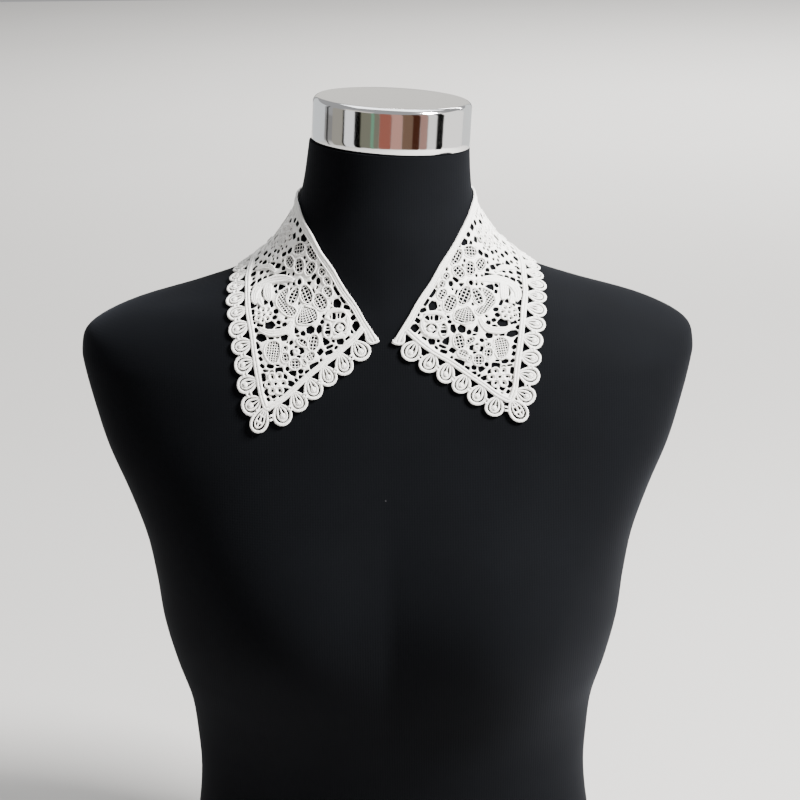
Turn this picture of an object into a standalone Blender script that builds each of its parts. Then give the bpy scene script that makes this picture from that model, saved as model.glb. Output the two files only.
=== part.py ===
# A white guipure lace collar lying on a black dress form with a chrome neck cap.
# Metres, +Z up. The form's axis is x = y = 0, it faces -Y, and its underside lies on z = 0.
# The collar is drawn flat, in millimetres, as one half: the wearer's left, which lies at +X. That half
# is wrapped onto the form, and the other half is its mirror image.
import math

import bpy
import numpy as np
from mathutils import Vector
from mathutils.geometry import delaunay_2d_cdt

mm = 0.001

# ---- dress form ----
formSections = [
    # height, half width, depth in front, depth behind, squareness
    (0.000, 0.1580, 0.0980, 0.1120, 2.20),
    (0.045, 0.1480, 0.0935, 0.1040, 2.20),
    (0.090, 0.1375, 0.0900, 0.0900, 2.20),
    (0.128, 0.1332, 0.0910, 0.0820, 2.20),
    (0.160, 0.1345, 0.0960, 0.0830, 2.20),
    (0.190, 0.1378, 0.1040, 0.0870, 2.30),
    (0.220, 0.1465, 0.1130, 0.0920, 2.35),
    (0.250, 0.1534, 0.1190, 0.0970, 2.40),
    (0.280, 0.1570, 0.1205, 0.1010, 2.45),
    (0.310, 0.1625, 0.1170, 0.1040, 2.50),
    (0.340, 0.1728, 0.1095, 0.1060, 2.55),
    (0.370, 0.1850, 0.1010, 0.1060, 2.60),
    (0.395, 0.1925, 0.0940, 0.1045, 2.55),
    (0.418, 0.1985, 0.0875, 0.1010, 2.40),
    (0.432, 0.2004, 0.0830, 0.0975, 2.25),
    (0.4457, 0.1955, 0.0785, 0.0925, 2.00),
    (0.4592, 0.1710, 0.0740, 0.0860, 1.80),
    (0.4715, 0.1300, 0.0695, 0.0790, 1.65),
    (0.4825, 0.0965, 0.0660, 0.0725, 1.75),
    (0.4970, 0.0765, 0.0625, 0.0660, 1.90),
    (0.5125, 0.0635, 0.0592, 0.0612, 2.00),
    (0.5280, 0.0562, 0.0562, 0.0572, 2.00),
    (0.5420, 0.0535, 0.0542, 0.0545, 2.00),
    (0.5560, 0.0520, 0.0526, 0.0528, 2.00),
    (0.5700, 0.0508, 0.0512, 0.0512, 2.00),
]
bust = {"side": 0.072, "height": 0.268, "swell": 0.014, "spread": 0.046}
neckLean = {"start": 0.526, "top": 0.573, "shift": 0.0036}
neckTop = {"height": 0.5625, "tilt": math.radians(3.4), "tiltStart": 0.540}
torsoRows = {"count": 19, "collarStart": 0.385, "collarCount": 23}
torsoColumns = {"count": 44, "sideCrowding": 0.2}

# ---- neck cap ----
cap = {"radius": 0.051, "height": 0.029, "edge": 0.0045, "lip": 0.0008, "dome": 0.0006, "domeRadius": 0.023}
capSegments, capEdgeSteps = 40, 5
seamGap = 0.0003

# ---- collar: where its edges lie on the form ----
# Each half slips and turns a little as it is laid: mm at the place in mm, then the change per mm of x and of y.
lie = {
    "place": (55.0, 20.0),
    "steadyAbove": 85.0,
    "gone": (80.0, 150.0),
    "left": {"slip": (-0.16, -1.45), "byX": (0.0215, 0.0033), "byY": (-0.0068, -0.0310)},
    "right": {"slip": (0.80, -0.85), "byX": (-0.0050, -0.0347), "byY": (0.0239, 0.0400)},
}
# Azimuth in degrees from the front centre, and the way down the form from the rib top in mm.
ribTop = 0.545
clearOfForm = 0.0008
neckline = [
    (1.0, 101.0), (3.5, 96.0), (8.2, 86.5), (13.6, 76.0), (18.5, 68.2), (23.7, 60.3), (29.0, 52.6),
    (35.2, 45.0), (42.4, 37.2), (51.6, 29.4), (61.7, 22.8), (75.0, 17.0), (90.0, 14.0), (110.0, 12.7),
    (135.0, 12.0), (160.0, 11.5), (180.0, 11.4),
]
outerEdge = [
    (43.4, 173.0), (47.0, 160.0), (49.5, 150.5), (51.9, 141.7), (54.2, 132.2), (57.0, 123.6), (60.7, 115.8),
    (64.9, 107.8), (70.8, 100.0), (77.0, 93.2), (84.0, 87.0), (92.0, 82.2), (110.0, 79.2), (135.0, 79.2),
    (160.0, 80.2), (180.0, 80.7),
]
gridAlong, gridAcross = 61, 17
shoulderAzimuth = 84.0
backHeading = math.radians(69.27)  # of the centre back, seen from the front corner of the flat half

# ---- collar: its parts, flat, in mm from the front corner of the neckline ----
wall = {"thick": 1.5, "raised": 0.55}
braidBottom = [(12, 13), (19, 5.5), (28, -1.5), (38, -8), (48, -15.5), (57, -22.5), (66, -29.5), (74, -34)]
braidSide = [
    (74, -34), (77, -25), (79, -12.5), (80.5, -2), (82.5, 10), (85, 21), (87.3, 31), (91.7, 48),
    (94.6, 59.8), (97.8, 72), (102.2, 86.3), (108, 99.7), (113, 112.3), (117.3, 125), (120.8, 137.7),
    (123.4, 150.7), (125.2, 164), (126.1, 177.4), (125.8, 190.7), (124.4, 204.8),
]
braidWidth = 3.0
petal = {"reach": 8.4, "halfLength": 6.4, "narrowest": 4.6, "widest": 5.9, "share": 0.472}
cornerPetal = {"centre": (78.5, -42.0), "heading": -60.0, "halfLength": 9.0, "halfWidth": 5.9}
bottomPetals = {"count": 6, "first": 9.6, "pitch": 12.05, "lean": 14.0}
sidePetals = {"count": 21, "first": 7.3, "lean": -12.0, "uprightAt": 110.0}
bandEnd = [(3.6, 6.2), (2.7, 4.6), (4.4, 3.3), (7.4, 2.7), (9.6, 3.2)]
petalGap = {"fromBraid": 0.35, "besideRoot": 2.6, "fromNotch": 1.7}
bandGap = [(12.7, 10.4), (16.4, 8.0), (14.6, 5.6), (12.2, 5.4)]

frontGaps = [
    # x, y, length, width, heading in degrees, corners
    (17.0, 13.8, 5.0, 4.2, 35, 5),
    (20.0, 19.8, 4.6, 3.4, 60, 4),
    (28.3, 27.5, 5.4, 4.4, 75, 6),
    (22.6, 25.4, 4.4, 3.0, 25, 4),
    (40.4, 13.0, 6.2, 4.4, 100, 5),
    (46.6, 13.3, 4.6, 4.6, 0, 5),
    (55.2, 13.0, 5.6, 3.8, 80, 4),
    (28.0, 5.2, 4.8, 3.6, -25, 5),
    (33.6, -2.0, 5.0, 3.6, -15, 4),
    (43.0, -8.8, 6.0, 3.4, -20, 4),
    (56.8, -12.6, 5.4, 3.8, -10, 5),
    (58.6, -18.4, 4.8, 3.6, -30, 4),
    (73.6, -25.2, 4.8, 3.6, 60, 4),
    (72.0, 17.6, 5.8, 4.6, 15, 5),
    (77.6, 10.4, 7.4, 3.6, 15, 4),
    (62.4, 9.4, 4.6, 3.8, 20, 4),
    (68.7, 23.4, 4.4, 3.8, 90, 6),
    (78.4, 2.4, 4.6, 3.4, 70, 4),
    (77.6, -4.6, 5.2, 3.4, 80, 4),
    (76.4, -12.6, 4.6, 3.6, 85, 4),
    (65.2, 43.8, 6.2, 4.4, 12, 4),
    (70.6, 39.8, 4.6, 3.2, 60, 4),
    (65.6, 52.4, 7.6, 4.0, 20, 4),
    (80.8, 53.6, 4.6, 4.2, 90, 5),
    (86.2, 46.4, 5.4, 3.4, 75, 4),
    (83.6, 36.0, 5.6, 3.4, 75, 4),
    (81.6, 24.8, 5.0, 3.2, 75, 4),
    (51.8, 44.4, 4.2, 4.2, 0, 6),
    (44.6, 42.6, 5.2, 3.4, -35, 4),
    (45.0, 70.0, 5.4, 4.2, 10, 5),
    (51.6, 70.8, 4.8, 4.0, 80, 5),
    (70.6, 59.6, 4.6, 3.4, 20, 4),
]
# The back repeats one spray of gaps round a flower, counted from the centre back forwards. Its places
# are counted along the collar from the flower's middle, and across it from the neckline.
backSprays = {"pitch": 28.2, "count": 5, "seamMargin": 4.0}
sprayGaps = [
    # along, across, length, width, heading from the along direction, corners
    (-9.5, 12.4, 5.4, 4.2, 20, 5),
    (0.0, 10.2, 5.2, 4.0, 0, 4),
    (9.5, 12.4, 5.4, 4.2, -20, 5),
    (14.1, 19.4, 4.6, 4.0, 90, 4),
    (14.1, 28.6, 5.6, 4.2, 90, 4),
    (-7.0, 20.4, 4.4, 3.4, 50, 4),
    (7.0, 20.4, 4.4, 3.4, -50, 4),
    (-9.6, 35.6, 5.2, 4.2, -30, 5),
    (0.0, 33.2, 5.0, 4.2, 90, 4),
    (9.6, 35.6, 5.2, 4.2, 30, 5),
    (-5.4, 43.4, 5.8, 3.8, 0, 4),
    (5.4, 43.4, 5.8, 3.8, 0, 4),
]
raisedRuns = [
    # satin ribbons that stand above the ground: their middle lines
    [(59, 47), (64.5, 49), (70, 49.4), (75.6, 49.4), (81, 48.6), (84.6, 43), (84.4, 38)],
    [(58, 18.4), (62, 14.2), (67, 12.6), (72, 12.6)],
    [(53.4, 39.4), (49, 33), (46, 27)],
    [(57, 52), (53, 57), (52, 63)],
    [(48, 47.6), (42, 50), (37, 54)],
    [(60, 31), (65, 36), (65, 28)],
    [(50.4, 4.8), (46.4, 1.6), (44, 6.4)],
    [(66, -12), (60, -20), (70.4, -19)],
]
# Points inside the wall: how far apart they lie and how far they keep from every edge.
inside = {
    "braid": {"spacing": 5.8, "clear": 1.2},
    "ribbon": {"spacing": 5.0, "clear": 1.6},
    "petal": {"clear": 1.5, "raised": 0.35},
    "fill": {"spacing": 8.2, "clear": 4.2},
}


def smoothRows(rows, steps):
    """Rows of numbers joined by a smooth curve through each of them."""
    points = np.array(rows, float)
    padded = np.vstack([2 * points[0] - points[1], points, 2 * points[-1] - points[-2]])
    curve = []
    for i in range(len(points) - 1):
        before, start, end, after = padded[i : i + 4]
        for t in np.arange(steps) / steps:
            curve.append(
                start
                + 0.5 * t * (end - before)
                + 0.5 * t**2 * (2 * before - 5 * start + 4 * end - after)
                + 0.5 * t**3 * (3 * start - before - 3 * end + after)
            )
    return np.array(curve + [points[-1]])


fineSections = smoothRows(formSections, 16)


def formPoint(height, azimuth):
    """A point of the form's skin: azimuth 0 is the front centre, and 90 degrees is +X."""
    halfWidth, front, behind, square = (
        np.interp(height, fineSections[:, 0], fineSections[:, k]) for k in range(1, 5)
    )
    sine, cosine = np.sin(azimuth), np.cos(azimuth)
    depth = np.where(cosine > 0, front, behind)
    radius = ((np.abs(sine) / halfWidth) ** square + (np.abs(cosine) / depth) ** square) ** (-1 / square)
    x, y = radius * sine, -radius * cosine
    fromBust = (np.abs(x) - bust["side"]) ** 2 + (height - bust["height"]) ** 2
    y = y - bust["swell"] * np.exp(-fromBust / (2 * bust["spread"] ** 2)) * np.clip(1.5 * cosine, 0, 1)
    lean = np.clip((height - neckLean["start"]) / (neckLean["top"] - neckLean["start"]), 0, 2)
    return np.stack([x + neckLean["shift"] * lean, y, height + 0 * azimuth], -1)


def formNormal(height, azimuth, step=1e-4):
    around = formPoint(height, azimuth + step) - formPoint(height, azimuth - step)
    upward = formPoint(height + step, azimuth) - formPoint(height - step, azimuth)
    normal = np.cross(around, upward)
    return normal / np.linalg.norm(normal, axis=-1, keepdims=True)


# ---- the surface that the collar's inner face lies on, as ribs a degree apart ----
ribDegrees = np.arange(-2.0, 182.0)
ribWays = np.arange(0.0, 186.0) * mm
ribSamples = 600
ribFloor = 0.27


def makeRibs():
    points = np.zeros((len(ribDegrees), len(ribWays), 3))
    normals = np.zeros_like(points)
    heights = np.linspace(ribTop, ribFloor, ribSamples)
    for i, degrees in enumerate(ribDegrees):
        azimuth = np.full(ribSamples, math.radians(degrees))
        normal = formNormal(heights, azimuth)
        skin = formPoint(heights, azimuth) + normal * clearOfForm
        way = np.concatenate([[0], np.cumsum(np.linalg.norm(np.diff(skin, axis=0), axis=1))])
        for k in range(3):
            points[i, :, k] = np.interp(ribWays, way, skin[:, k])
            normals[i, :, k] = np.interp(ribWays, way, normal[:, k])
    return points, normals


ribPoints, ribNormals = makeRibs()


def onForm(degrees, way):
    """The point and normal of the collar's inner surface at an azimuth and a way down from the rib top."""
    a = np.clip(degrees - ribDegrees[0], 0, len(ribDegrees) - 1.001)
    b = np.clip(way / mm, 0, len(ribWays) - 1.001)
    i, j = a.astype(int), b.astype(int)
    s, t = (a - i)[..., None], (b - j)[..., None]

    def between(table):
        near = table[i, j] * (1 - s) + table[i + 1, j] * s
        far = table[i, j + 1] * (1 - s) + table[i + 1, j + 1] * s
        return near * (1 - t) + far * t

    normal = between(ribNormals)
    return between(ribPoints), normal / np.linalg.norm(normal, axis=-1, keepdims=True)


def evenAlong(table):
    """gridAlong points of an edge, evenly spaced on each side of the shoulder."""
    degrees, way = smoothRows(table, 24).T
    points, _ = onForm(degrees, way * mm)
    length = np.concatenate([[0], np.cumsum(np.linalg.norm(np.diff(points, axis=0), axis=1))])
    shoulder = np.interp(shoulderAzimuth, degrees, length)
    half = (gridAlong - 1) // 2
    wanted = np.concatenate(
        [np.linspace(0, shoulder, half + 1), np.linspace(shoulder, length[-1], half + 1)[1:]]
    )
    return np.interp(wanted, length, degrees), np.interp(wanted, length, way) * mm


def collarGrid():
    inner, outer = evenAlong(neckline), evenAlong(outerEdge)
    across = np.linspace(0, 1, gridAcross)
    return [inner[k][:, None] * (1 - across) + outer[k][:, None] * across for k in range(2)]


def unrolled(points):
    """A first flat guess: the middle line unrolled, with each cross line straight."""
    middle = gridAcross // 2
    along = points[:, middle]
    crossing = points[:, middle + 1] - points[:, middle - 1]
    crossing /= np.linalg.norm(crossing, axis=1, keepdims=True)
    spine, heading = np.zeros((gridAlong, 2)), np.zeros(gridAlong)
    for i in range(gridAlong - 1):
        step = along[i + 1] - along[i]
        length = np.linalg.norm(step)
        leaving = heading[i] + math.acos(crossing[i] @ step / length)
        spine[i + 1] = spine[i] + length * np.array([math.cos(leaving), math.sin(leaving)])
        heading[i + 1] = leaving - math.acos(crossing[i + 1] @ step / length)
    flat = np.zeros((gridAlong, gridAcross, 2))
    for i in range(gridAlong):
        way = np.concatenate([[0], np.cumsum(np.linalg.norm(np.diff(points[i], axis=0), axis=1))])
        flat[i] = spine[i] + np.outer(way - way[middle], [math.cos(heading[i]), math.sin(heading[i])])
    return flat


def flattened(points, rounds=60):
    """The grid laid flat with each small triangle as near its own shape as it can be."""
    order = np.arange(gridAlong * gridAcross).reshape(gridAlong, gridAcross)
    corners = (order[:-1, :-1], order[1:, :-1], order[1:, 1:], order[:-1, 1:])
    a, b, c, d = (corner.ravel() for corner in corners)
    triangles = np.concatenate([np.stack(t, 1) for t in ((a, b, c), (a, c, d), (a, b, d), (b, c, d))])
    flat = unrolled(points).reshape(-1, 2)
    corner = points.reshape(-1, 3)[triangles]
    side = corner[:, [1, 2, 0]] - corner
    length = np.linalg.norm(side, axis=2)
    cosine = -(side[:, 0] * side[:, 2]).sum(1) / (length[:, 0] * length[:, 2])
    own = np.zeros((len(triangles), 3, 2))
    own[:, 1, 0] = length[:, 0]
    own[:, 2, 0] = length[:, 2] * cosine
    own[:, 2, 1] = length[:, 2] * np.sqrt(np.clip(1 - cosine**2, 1e-12, 1))
    first = flat[triangles]
    if np.cross(first[:, 1] - first[:, 0], first[:, 2] - first[:, 0]).sum() < 0:
        own[:, :, 1] *= -1
    ownSide = own[:, [1, 2, 0]] - own
    weight = np.zeros((len(triangles), 3))
    for k in range(3):
        far = (k + 2) % 3
        u, v = own[:, k] - own[:, far], own[:, (k + 1) % 3] - own[:, far]
        weight[:, k] = np.clip((u * v).sum(1) / np.abs(np.cross(u, v)), 0.02, 20)
    total = np.zeros((len(flat), len(flat)))
    for k in range(3):
        i, j, w = triangles[:, k], triangles[:, (k + 1) % 3], weight[:, k]
        for row, column, sign in ((i, i, 1), (j, j, 1), (i, j, -1), (j, i, -1)):
            np.add.at(total, (row, column), sign * w)
    total[0, 0] += 1  # holds the first point where it is
    solve = np.linalg.inv(total)
    for _ in range(rounds):
        now = flat[triangles]
        spread = np.einsum("tk,tka,tkb->tab", weight, now[:, [1, 2, 0]] - now, ownSide)
        turn = np.arctan2(spread[:, 1, 0] - spread[:, 0, 1], spread[:, 0, 0] + spread[:, 1, 1])
        turned = np.stack([np.cos(turn), -np.sin(turn), np.sin(turn), np.cos(turn)], 1).reshape(-1, 2, 2)
        pull = np.einsum("tab,tkb->tka", turned, ownSide) * weight[:, :, None]
        sums = np.zeros_like(flat)
        for k in range(3):
            np.add.at(sums, triangles[:, (k + 1) % 3], pull[:, k])
            np.add.at(sums, triangles[:, k], -pull[:, k])
        sums[0] += flat[0]
        flat = solve @ sums
    return flat.reshape(gridAlong, gridAcross, 2)


def makeFlatGrid():
    """The half collar's grid as (degrees, way) on the form and as flat millimetres."""
    degrees, way = collarGrid()
    points, _ = onForm(degrees, way)
    flat = flattened(points) / mm
    flat = flat - flat[0, 0]
    back, outer = flat[-1, 0], flat[0, -1]
    # turned over where needed, so that the outer edge lies on the right of the way from front to back
    if back[0] * outer[1] > back[1] * outer[0]:
        flat = flat * (1, -1)
        back = flat[-1, 0]
    turn = backHeading - math.atan2(back[1], back[0])
    cosine, sine = math.cos(turn), math.sin(turn)
    return degrees, way, flat @ np.array([[cosine, sine], [-sine, cosine]])


gridDegrees, gridWay, gridFlat = makeFlatGrid()


def gridPlace(flatPoints):
    """Where flat points (mm) lie in the grid, as fractional row and column."""
    flatPoints = np.asarray(flatPoints, float)
    distance = np.linalg.norm(flatPoints[:, None] - gridFlat.reshape(1, -1, 2), axis=2)
    row, column = np.divmod(distance.argmin(1), gridAcross)
    row, column = row.astype(float), column.astype(float)
    for _ in range(12):
        i = np.clip(np.floor(row), 0, gridAlong - 2).astype(int)
        j = np.clip(np.floor(column), 0, gridAcross - 2).astype(int)
        s, t = (row - i)[:, None], (column - j)[:, None]
        a, b = gridFlat[i, j], gridFlat[i + 1, j]
        c, d = gridFlat[i, j + 1], gridFlat[i + 1, j + 1]
        miss = flatPoints - ((a * (1 - s) + b * s) * (1 - t) + (c * (1 - s) + d * s) * t)
        alongRow = (b - a) * (1 - t) + (d - c) * t
        alongColumn = (c - a) * (1 - s) + (d - b) * s
        area = alongRow[:, 0] * alongColumn[:, 1] - alongRow[:, 1] * alongColumn[:, 0]
        row += (miss[:, 0] * alongColumn[:, 1] - miss[:, 1] * alongColumn[:, 0]) / area
        column += (alongRow[:, 0] * miss[:, 1] - alongRow[:, 1] * miss[:, 0]) / area
    return row, column


def gridRead(table, row, column):
    i = np.clip(np.floor(row), 0, gridAlong - 2).astype(int)
    j = np.clip(np.floor(column), 0, gridAcross - 2).astype(int)
    s, t = row - i, column - j
    near = table[i, j] * (1 - s) + table[i + 1, j] * s
    return near * (1 - t) + (table[i, j + 1] * (1 - s) + table[i + 1, j + 1] * s) * t


def wrapped(flatPoints, lift):
    """Flat points (mm) laid on the form, each lifted along the normal by its own number of mm."""
    row, column = gridPlace(flatPoints)
    points, normals = onForm(gridRead(gridDegrees, row, column), gridRead(gridWay, row, column))
    return points + normals * np.asarray(lift)[:, None] * mm


# ---- the flat half ----
def turned(heading):
    return np.array([math.cos(math.radians(heading)), math.sin(math.radians(heading))])


class Line:
    """A smooth flat line that is read by the length from its start."""

    def __init__(self, table):
        self.points = smoothRows(table, 12)
        steps = np.linalg.norm(np.diff(self.points, axis=0), axis=1)
        self.way = np.concatenate([[0], np.cumsum(steps)])
        self.length = self.way[-1]

    def at(self, way):
        return np.array([np.interp(way, self.way, self.points[:, k]) for k in range(2)])

    def heading(self, way):
        step = self.at(min(way + 0.5, self.length)) - self.at(max(way - 0.5, 0))
        return math.degrees(math.atan2(step[1], step[0]))


def petals():
    """Each petal from the band's end round to the centre back, with the root that it grows from."""
    found = []
    bottom, side = Line(braidBottom), Line(braidSide)
    for k in range(bottomPetals["count"]):
        way = bottomPetals["first"] + k * bottomPetals["pitch"]
        heading = bottom.heading(way) - 90 + bottomPetals["lean"]
        found.append({"root": bottom.at(way), "line": bottom, "way": way, "heading": heading})
    corner = {"root": np.array(braidSide[0]), "line": None, "way": 0.0, **cornerPetal}
    found.append(corner)
    pitch = (side.length - sidePetals["first"]) / (sidePetals["count"] - 0.5)
    for k in range(sidePetals["count"]):
        way = sidePetals["first"] + k * pitch
        lean = sidePetals["lean"] * max(0, 1 - way / sidePetals["uprightAt"])
        heading = side.heading(way) - 90 + lean
        found.append({"root": side.at(way), "line": side, "way": way, "heading": heading})
    for each in found:
        if each["line"]:
            each["centre"] = each["root"] + turned(each["heading"]) * petal["reach"]
    for k, each in enumerate(found):
        if each["line"]:
            near = [found[n]["centre"] for n in (k - 1, k + 1) if 0 <= n < len(found) and found[n]["line"]]
            room = petal["share"] * min(np.linalg.norm(each["centre"] - other) for other in near)
            each["halfWidth"] = min(max(room, petal["narrowest"]), petal["widest"])
            each["halfLength"] = petal["halfLength"]
    return found


def petalPoint(each, angle):
    """A point of a petal's rim: angle 0 is its tip, and +90 its side nearer the centre back."""
    along = turned(each["heading"])
    beside = np.array([-along[1], along[0]])
    a, b = math.cos(math.radians(angle)), math.sin(math.radians(angle))
    return np.array(each["centre"]) + along * each["halfLength"] * a + beside * each["halfWidth"] * b


def joins(row):
    """Where each petal meets the next."""
    return [
        (petalPoint(a, 96) + petalPoint(b, -96)) / 2 for a, b in zip(row[:-1], row[1:])
    ]


def outline(row):
    """The half's whole edge: neckline from the back, the band's end, the petals and the centre back."""
    neck = gridFlat[::-2, 0]
    edge = [p for p in neck if p[1] > bandEnd[0][1] + 3]
    edge += [np.array(p) for p in bandEnd]
    meets = joins(row) + [None]
    for each, meet in zip(row, meets):
        edge += [petalPoint(each, angle) for angle in (-78, -50, -24, 0, 24, 50, 78)]
        if meet is not None:
            edge.append(meet)
    seam = gridFlat[-1, -1] - gridFlat[-1, 0]
    seam /= np.linalg.norm(seam)
    braidEnd = (braidSide[-1] - gridFlat[-1, 0]) @ seam
    edge += [gridFlat[-1, 0] + seam * way for way in np.linspace(braidEnd + petal["reach"] - 1, 0, 6)[:-1]]
    return np.array(edge)


def gapPolygon(x, y, length, width, heading, corners):
    """A gap's corners on an oval; with four of them it is a rectangle of the length and width."""
    along = turned(heading)
    beside = np.array([-along[1], along[0]])
    grow = math.sqrt(2) if corners == 4 else 1.08
    angles = 2 * math.pi * (np.arange(corners) + 0.5) / corners
    a, b = np.cos(angles) * length / 2 * grow, np.sin(angles) * width / 2 * grow
    return np.array([x, y]) + np.outer(a, along) + np.outer(b, beside)


def petalGaps(row):
    """The three-cornered gaps between the braid and each two petals."""
    gaps = [np.array(bandGap)]
    clear = braidWidth / 2 + petalGap["fromBraid"]
    for a, b, meet in zip(row[:-1], row[1:], joins(row)):
        if a["line"] is not b["line"]:
            continue
        corners = []
        for each, side in ((a, 1), (b, -1)):
            way = each["way"] + side * petalGap["besideRoot"]
            outward = turned(each["line"].heading(way) - 90)
            corners.append(each["line"].at(way) + outward * clear)
        inward = (corners[0] + corners[1]) / 2 - meet
        inward /= np.linalg.norm(inward)
        gaps.append(np.array(corners + [meet + inward * petalGap["fromNotch"]]))
    return gaps


def bodyGaps():
    gaps = [gapPolygon(*gap) for gap in frontGaps]
    neck = Line(gridFlat[:, 0])
    for k in range(backSprays["count"]):
        for along, across, length, width, heading, corners in sprayGaps:
            way = neck.length - k * backSprays["pitch"] + along
            if way > neck.length - backSprays["seamMargin"]:
                continue
            base = neck.heading(way)
            x, y = neck.at(way) + turned(base - 90) * across
            gaps.append(gapPolygon(x, y, length, width, base + heading, corners))
    return gaps


def insideLoops(points, loops):
    """Even-odd test of points against closed loops taken together."""
    odd = np.zeros(len(points), bool)
    x, y = points.T
    for loop in loops:
        for (ax, ay), (bx, by) in zip(loop, np.roll(loop, -1, axis=0)):
            if ay == by:
                continue
            crosses = (ay > y) != (by > y)
            odd ^= crosses & (x < ax + (y - ay) * (bx - ax) / (by - ay))
    return odd


def innerPoints(loops):
    """Points on the raised lines, and points that fill the rest, with the height of each."""
    edge = np.vstack(loops)
    points, raised = [], []

    def add(candidates, clear, height):
        for p in candidates:
            others = np.vstack([edge, *(q[None] for q in points)])
            if np.linalg.norm(others - p, axis=1).min() > clear and insideLoops(p[None], loops)[0]:
                points.append(p)
                raised.append(height)

    for kind, runs in (("braid", (braidBottom, braidSide)), ("ribbon", raisedRuns)):
        for run in runs:
            line = Line(run)
            places = [line.at(way) for way in np.arange(0, line.length, inside[kind]["spacing"])]
            add(places, inside[kind]["clear"], wall["raised"])
    add([np.array(each["centre"]) for each in petals()], inside["petal"]["clear"], inside["petal"]["raised"])
    spacing = inside["fill"]["spacing"]
    low, high = edge.min(0), edge.max(0)
    for k, y in enumerate(np.arange(low[1], high[1], spacing)):
        across = np.arange(low[0] + spacing / 2 * (k % 2), high[0], spacing)
        add([np.array([x, y]) for x in across], inside["fill"]["clear"], 0.0)
    return points, raised


def flatHalf():
    """The half's triangles in the flat, with the height of each point's outer face."""
    row = petals()
    loops = [outline(row)] + petalGaps(row) + bodyGaps()
    inner, raised = innerPoints(loops)
    points, edges = [], []
    for loop in loops:
        start = len(points)
        points += [Vector(p) for p in loop]
        edges += [(start + k, start + (k + 1) % len(loop)) for k in range(len(loop))]
    edgeCount = len(points)
    points += [Vector(p) for p in inner]
    made = delaunay_2d_cdt(points, edges, [], 0, 1e-5)
    flat = np.array([tuple(p) for p in made[0]])
    triangles = np.array(made[2])
    kept = triangles[insideLoops(flat[triangles].mean(1), loops)]
    height = np.full(len(flat), wall["thick"])
    for k, source in enumerate(made[3]):
        if source and source[0] >= edgeCount:
            height[k] += raised[source[0] - edgeCount]
    return flat, kept, height


def lying(flat, half):
    """The flat points as that half lies: the slip dies away over the shoulder, so the halves meet behind."""
    x, y = flat.T
    fromX, fromY = x - lie["place"][0], np.minimum(y, lie["steadyAbove"]) - lie["place"][1]
    full, none = lie["gone"]
    share = np.clip((none - y) / (none - full), 0, 1)
    how = lie[half]
    slip = np.array(how["slip"]) + np.outer(fromX, how["byX"]) + np.outer(fromY, how["byY"])
    return flat + slip * (share * share * (3 - 2 * share))[:, None]


def layered(flat, triangles, height, half):
    """The flat half as a wrapped wall with an inner face, an outer face and cut edges."""
    used = np.unique(triangles)
    newOrder = np.full(len(flat), -1)
    newOrder[used] = np.arange(len(used))
    flat, height, triangles = flat[used], height[used], newOrder[triangles]
    count = len(flat)
    flat = lying(flat, half)
    points = np.vstack([wrapped(flat, np.zeros(count)), wrapped(flat, height)])
    sides = {}
    for a, b, c in triangles:
        for edge in ((a, b), (b, c), (c, a)):
            sides[edge] = True
    faces = [tuple(t[::-1]) for t in triangles.tolist()]
    faces += [tuple(k + count for k in t) for t in triangles.tolist()]
    for a, b in sides:
        if (b, a) not in sides:
            faces.append((a, b, b + count, a + count))
    return points, faces


# ---- objects ----
def makeMaterial(name, colour, roughness, metallic=0.0):
    material = bpy.data.materials.new(name)
    material.use_nodes = True
    shader = material.node_tree.nodes["Principled BSDF"]
    shader.inputs["Base Color"].default_value = (*colour, 1.0)
    shader.inputs["Roughness"].default_value = roughness
    shader.inputs["Metallic"].default_value = metallic
    return material


def makeObject(name, points, faces, material, sharpAngle=40):
    mesh = bpy.data.meshes.new(name)
    mesh.from_pydata([tuple(p) for p in points], [], faces)
    mesh.validate()
    mesh.shade_smooth()
    mesh.set_sharp_from_angle(angle=math.radians(sharpAngle))
    mesh.materials.append(material)
    made = bpy.data.objects.new(name, mesh)
    bpy.context.scene.collection.objects.link(made)
    return made


def ringFaces(rings, columns):
    """Quads between rings that follow each other upwards, and a flat face at each end."""
    faces = [tuple(reversed(range(columns))), tuple((rings - 1) * columns + k for k in range(columns))]
    for i in range(rings - 1):
        for k in range(columns):
            n = (k + 1) % columns
            faces.append((i * columns + k, i * columns + n, (i + 1) * columns + n, (i + 1) * columns + k))
    return faces


def makeTorso(material):
    lower = np.linspace(0, torsoRows["collarStart"], torsoRows["count"], endpoint=False)
    upper = np.linspace(torsoRows["collarStart"], neckTop["height"], torsoRows["collarCount"])
    heights = np.concatenate([lower, upper])
    even = np.linspace(0, 2 * math.pi, torsoColumns["count"], endpoint=False)
    azimuths = even + torsoColumns["sideCrowding"] * np.sin(2 * even)
    points = np.array([[formPoint(np.array(h), a) for a in azimuths] for h in heights]).reshape(-1, 3)
    share = np.clip((points[:, 2] - neckTop["tiltStart"]) / (neckTop["height"] - neckTop["tiltStart"]), 0, 1)
    points[:, 2] -= math.tan(neckTop["tilt"]) * (points[:, 0] - neckLean["shift"]) * share
    return makeObject("form_torso", points, ringFaces(len(heights), len(azimuths)), material)


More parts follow.
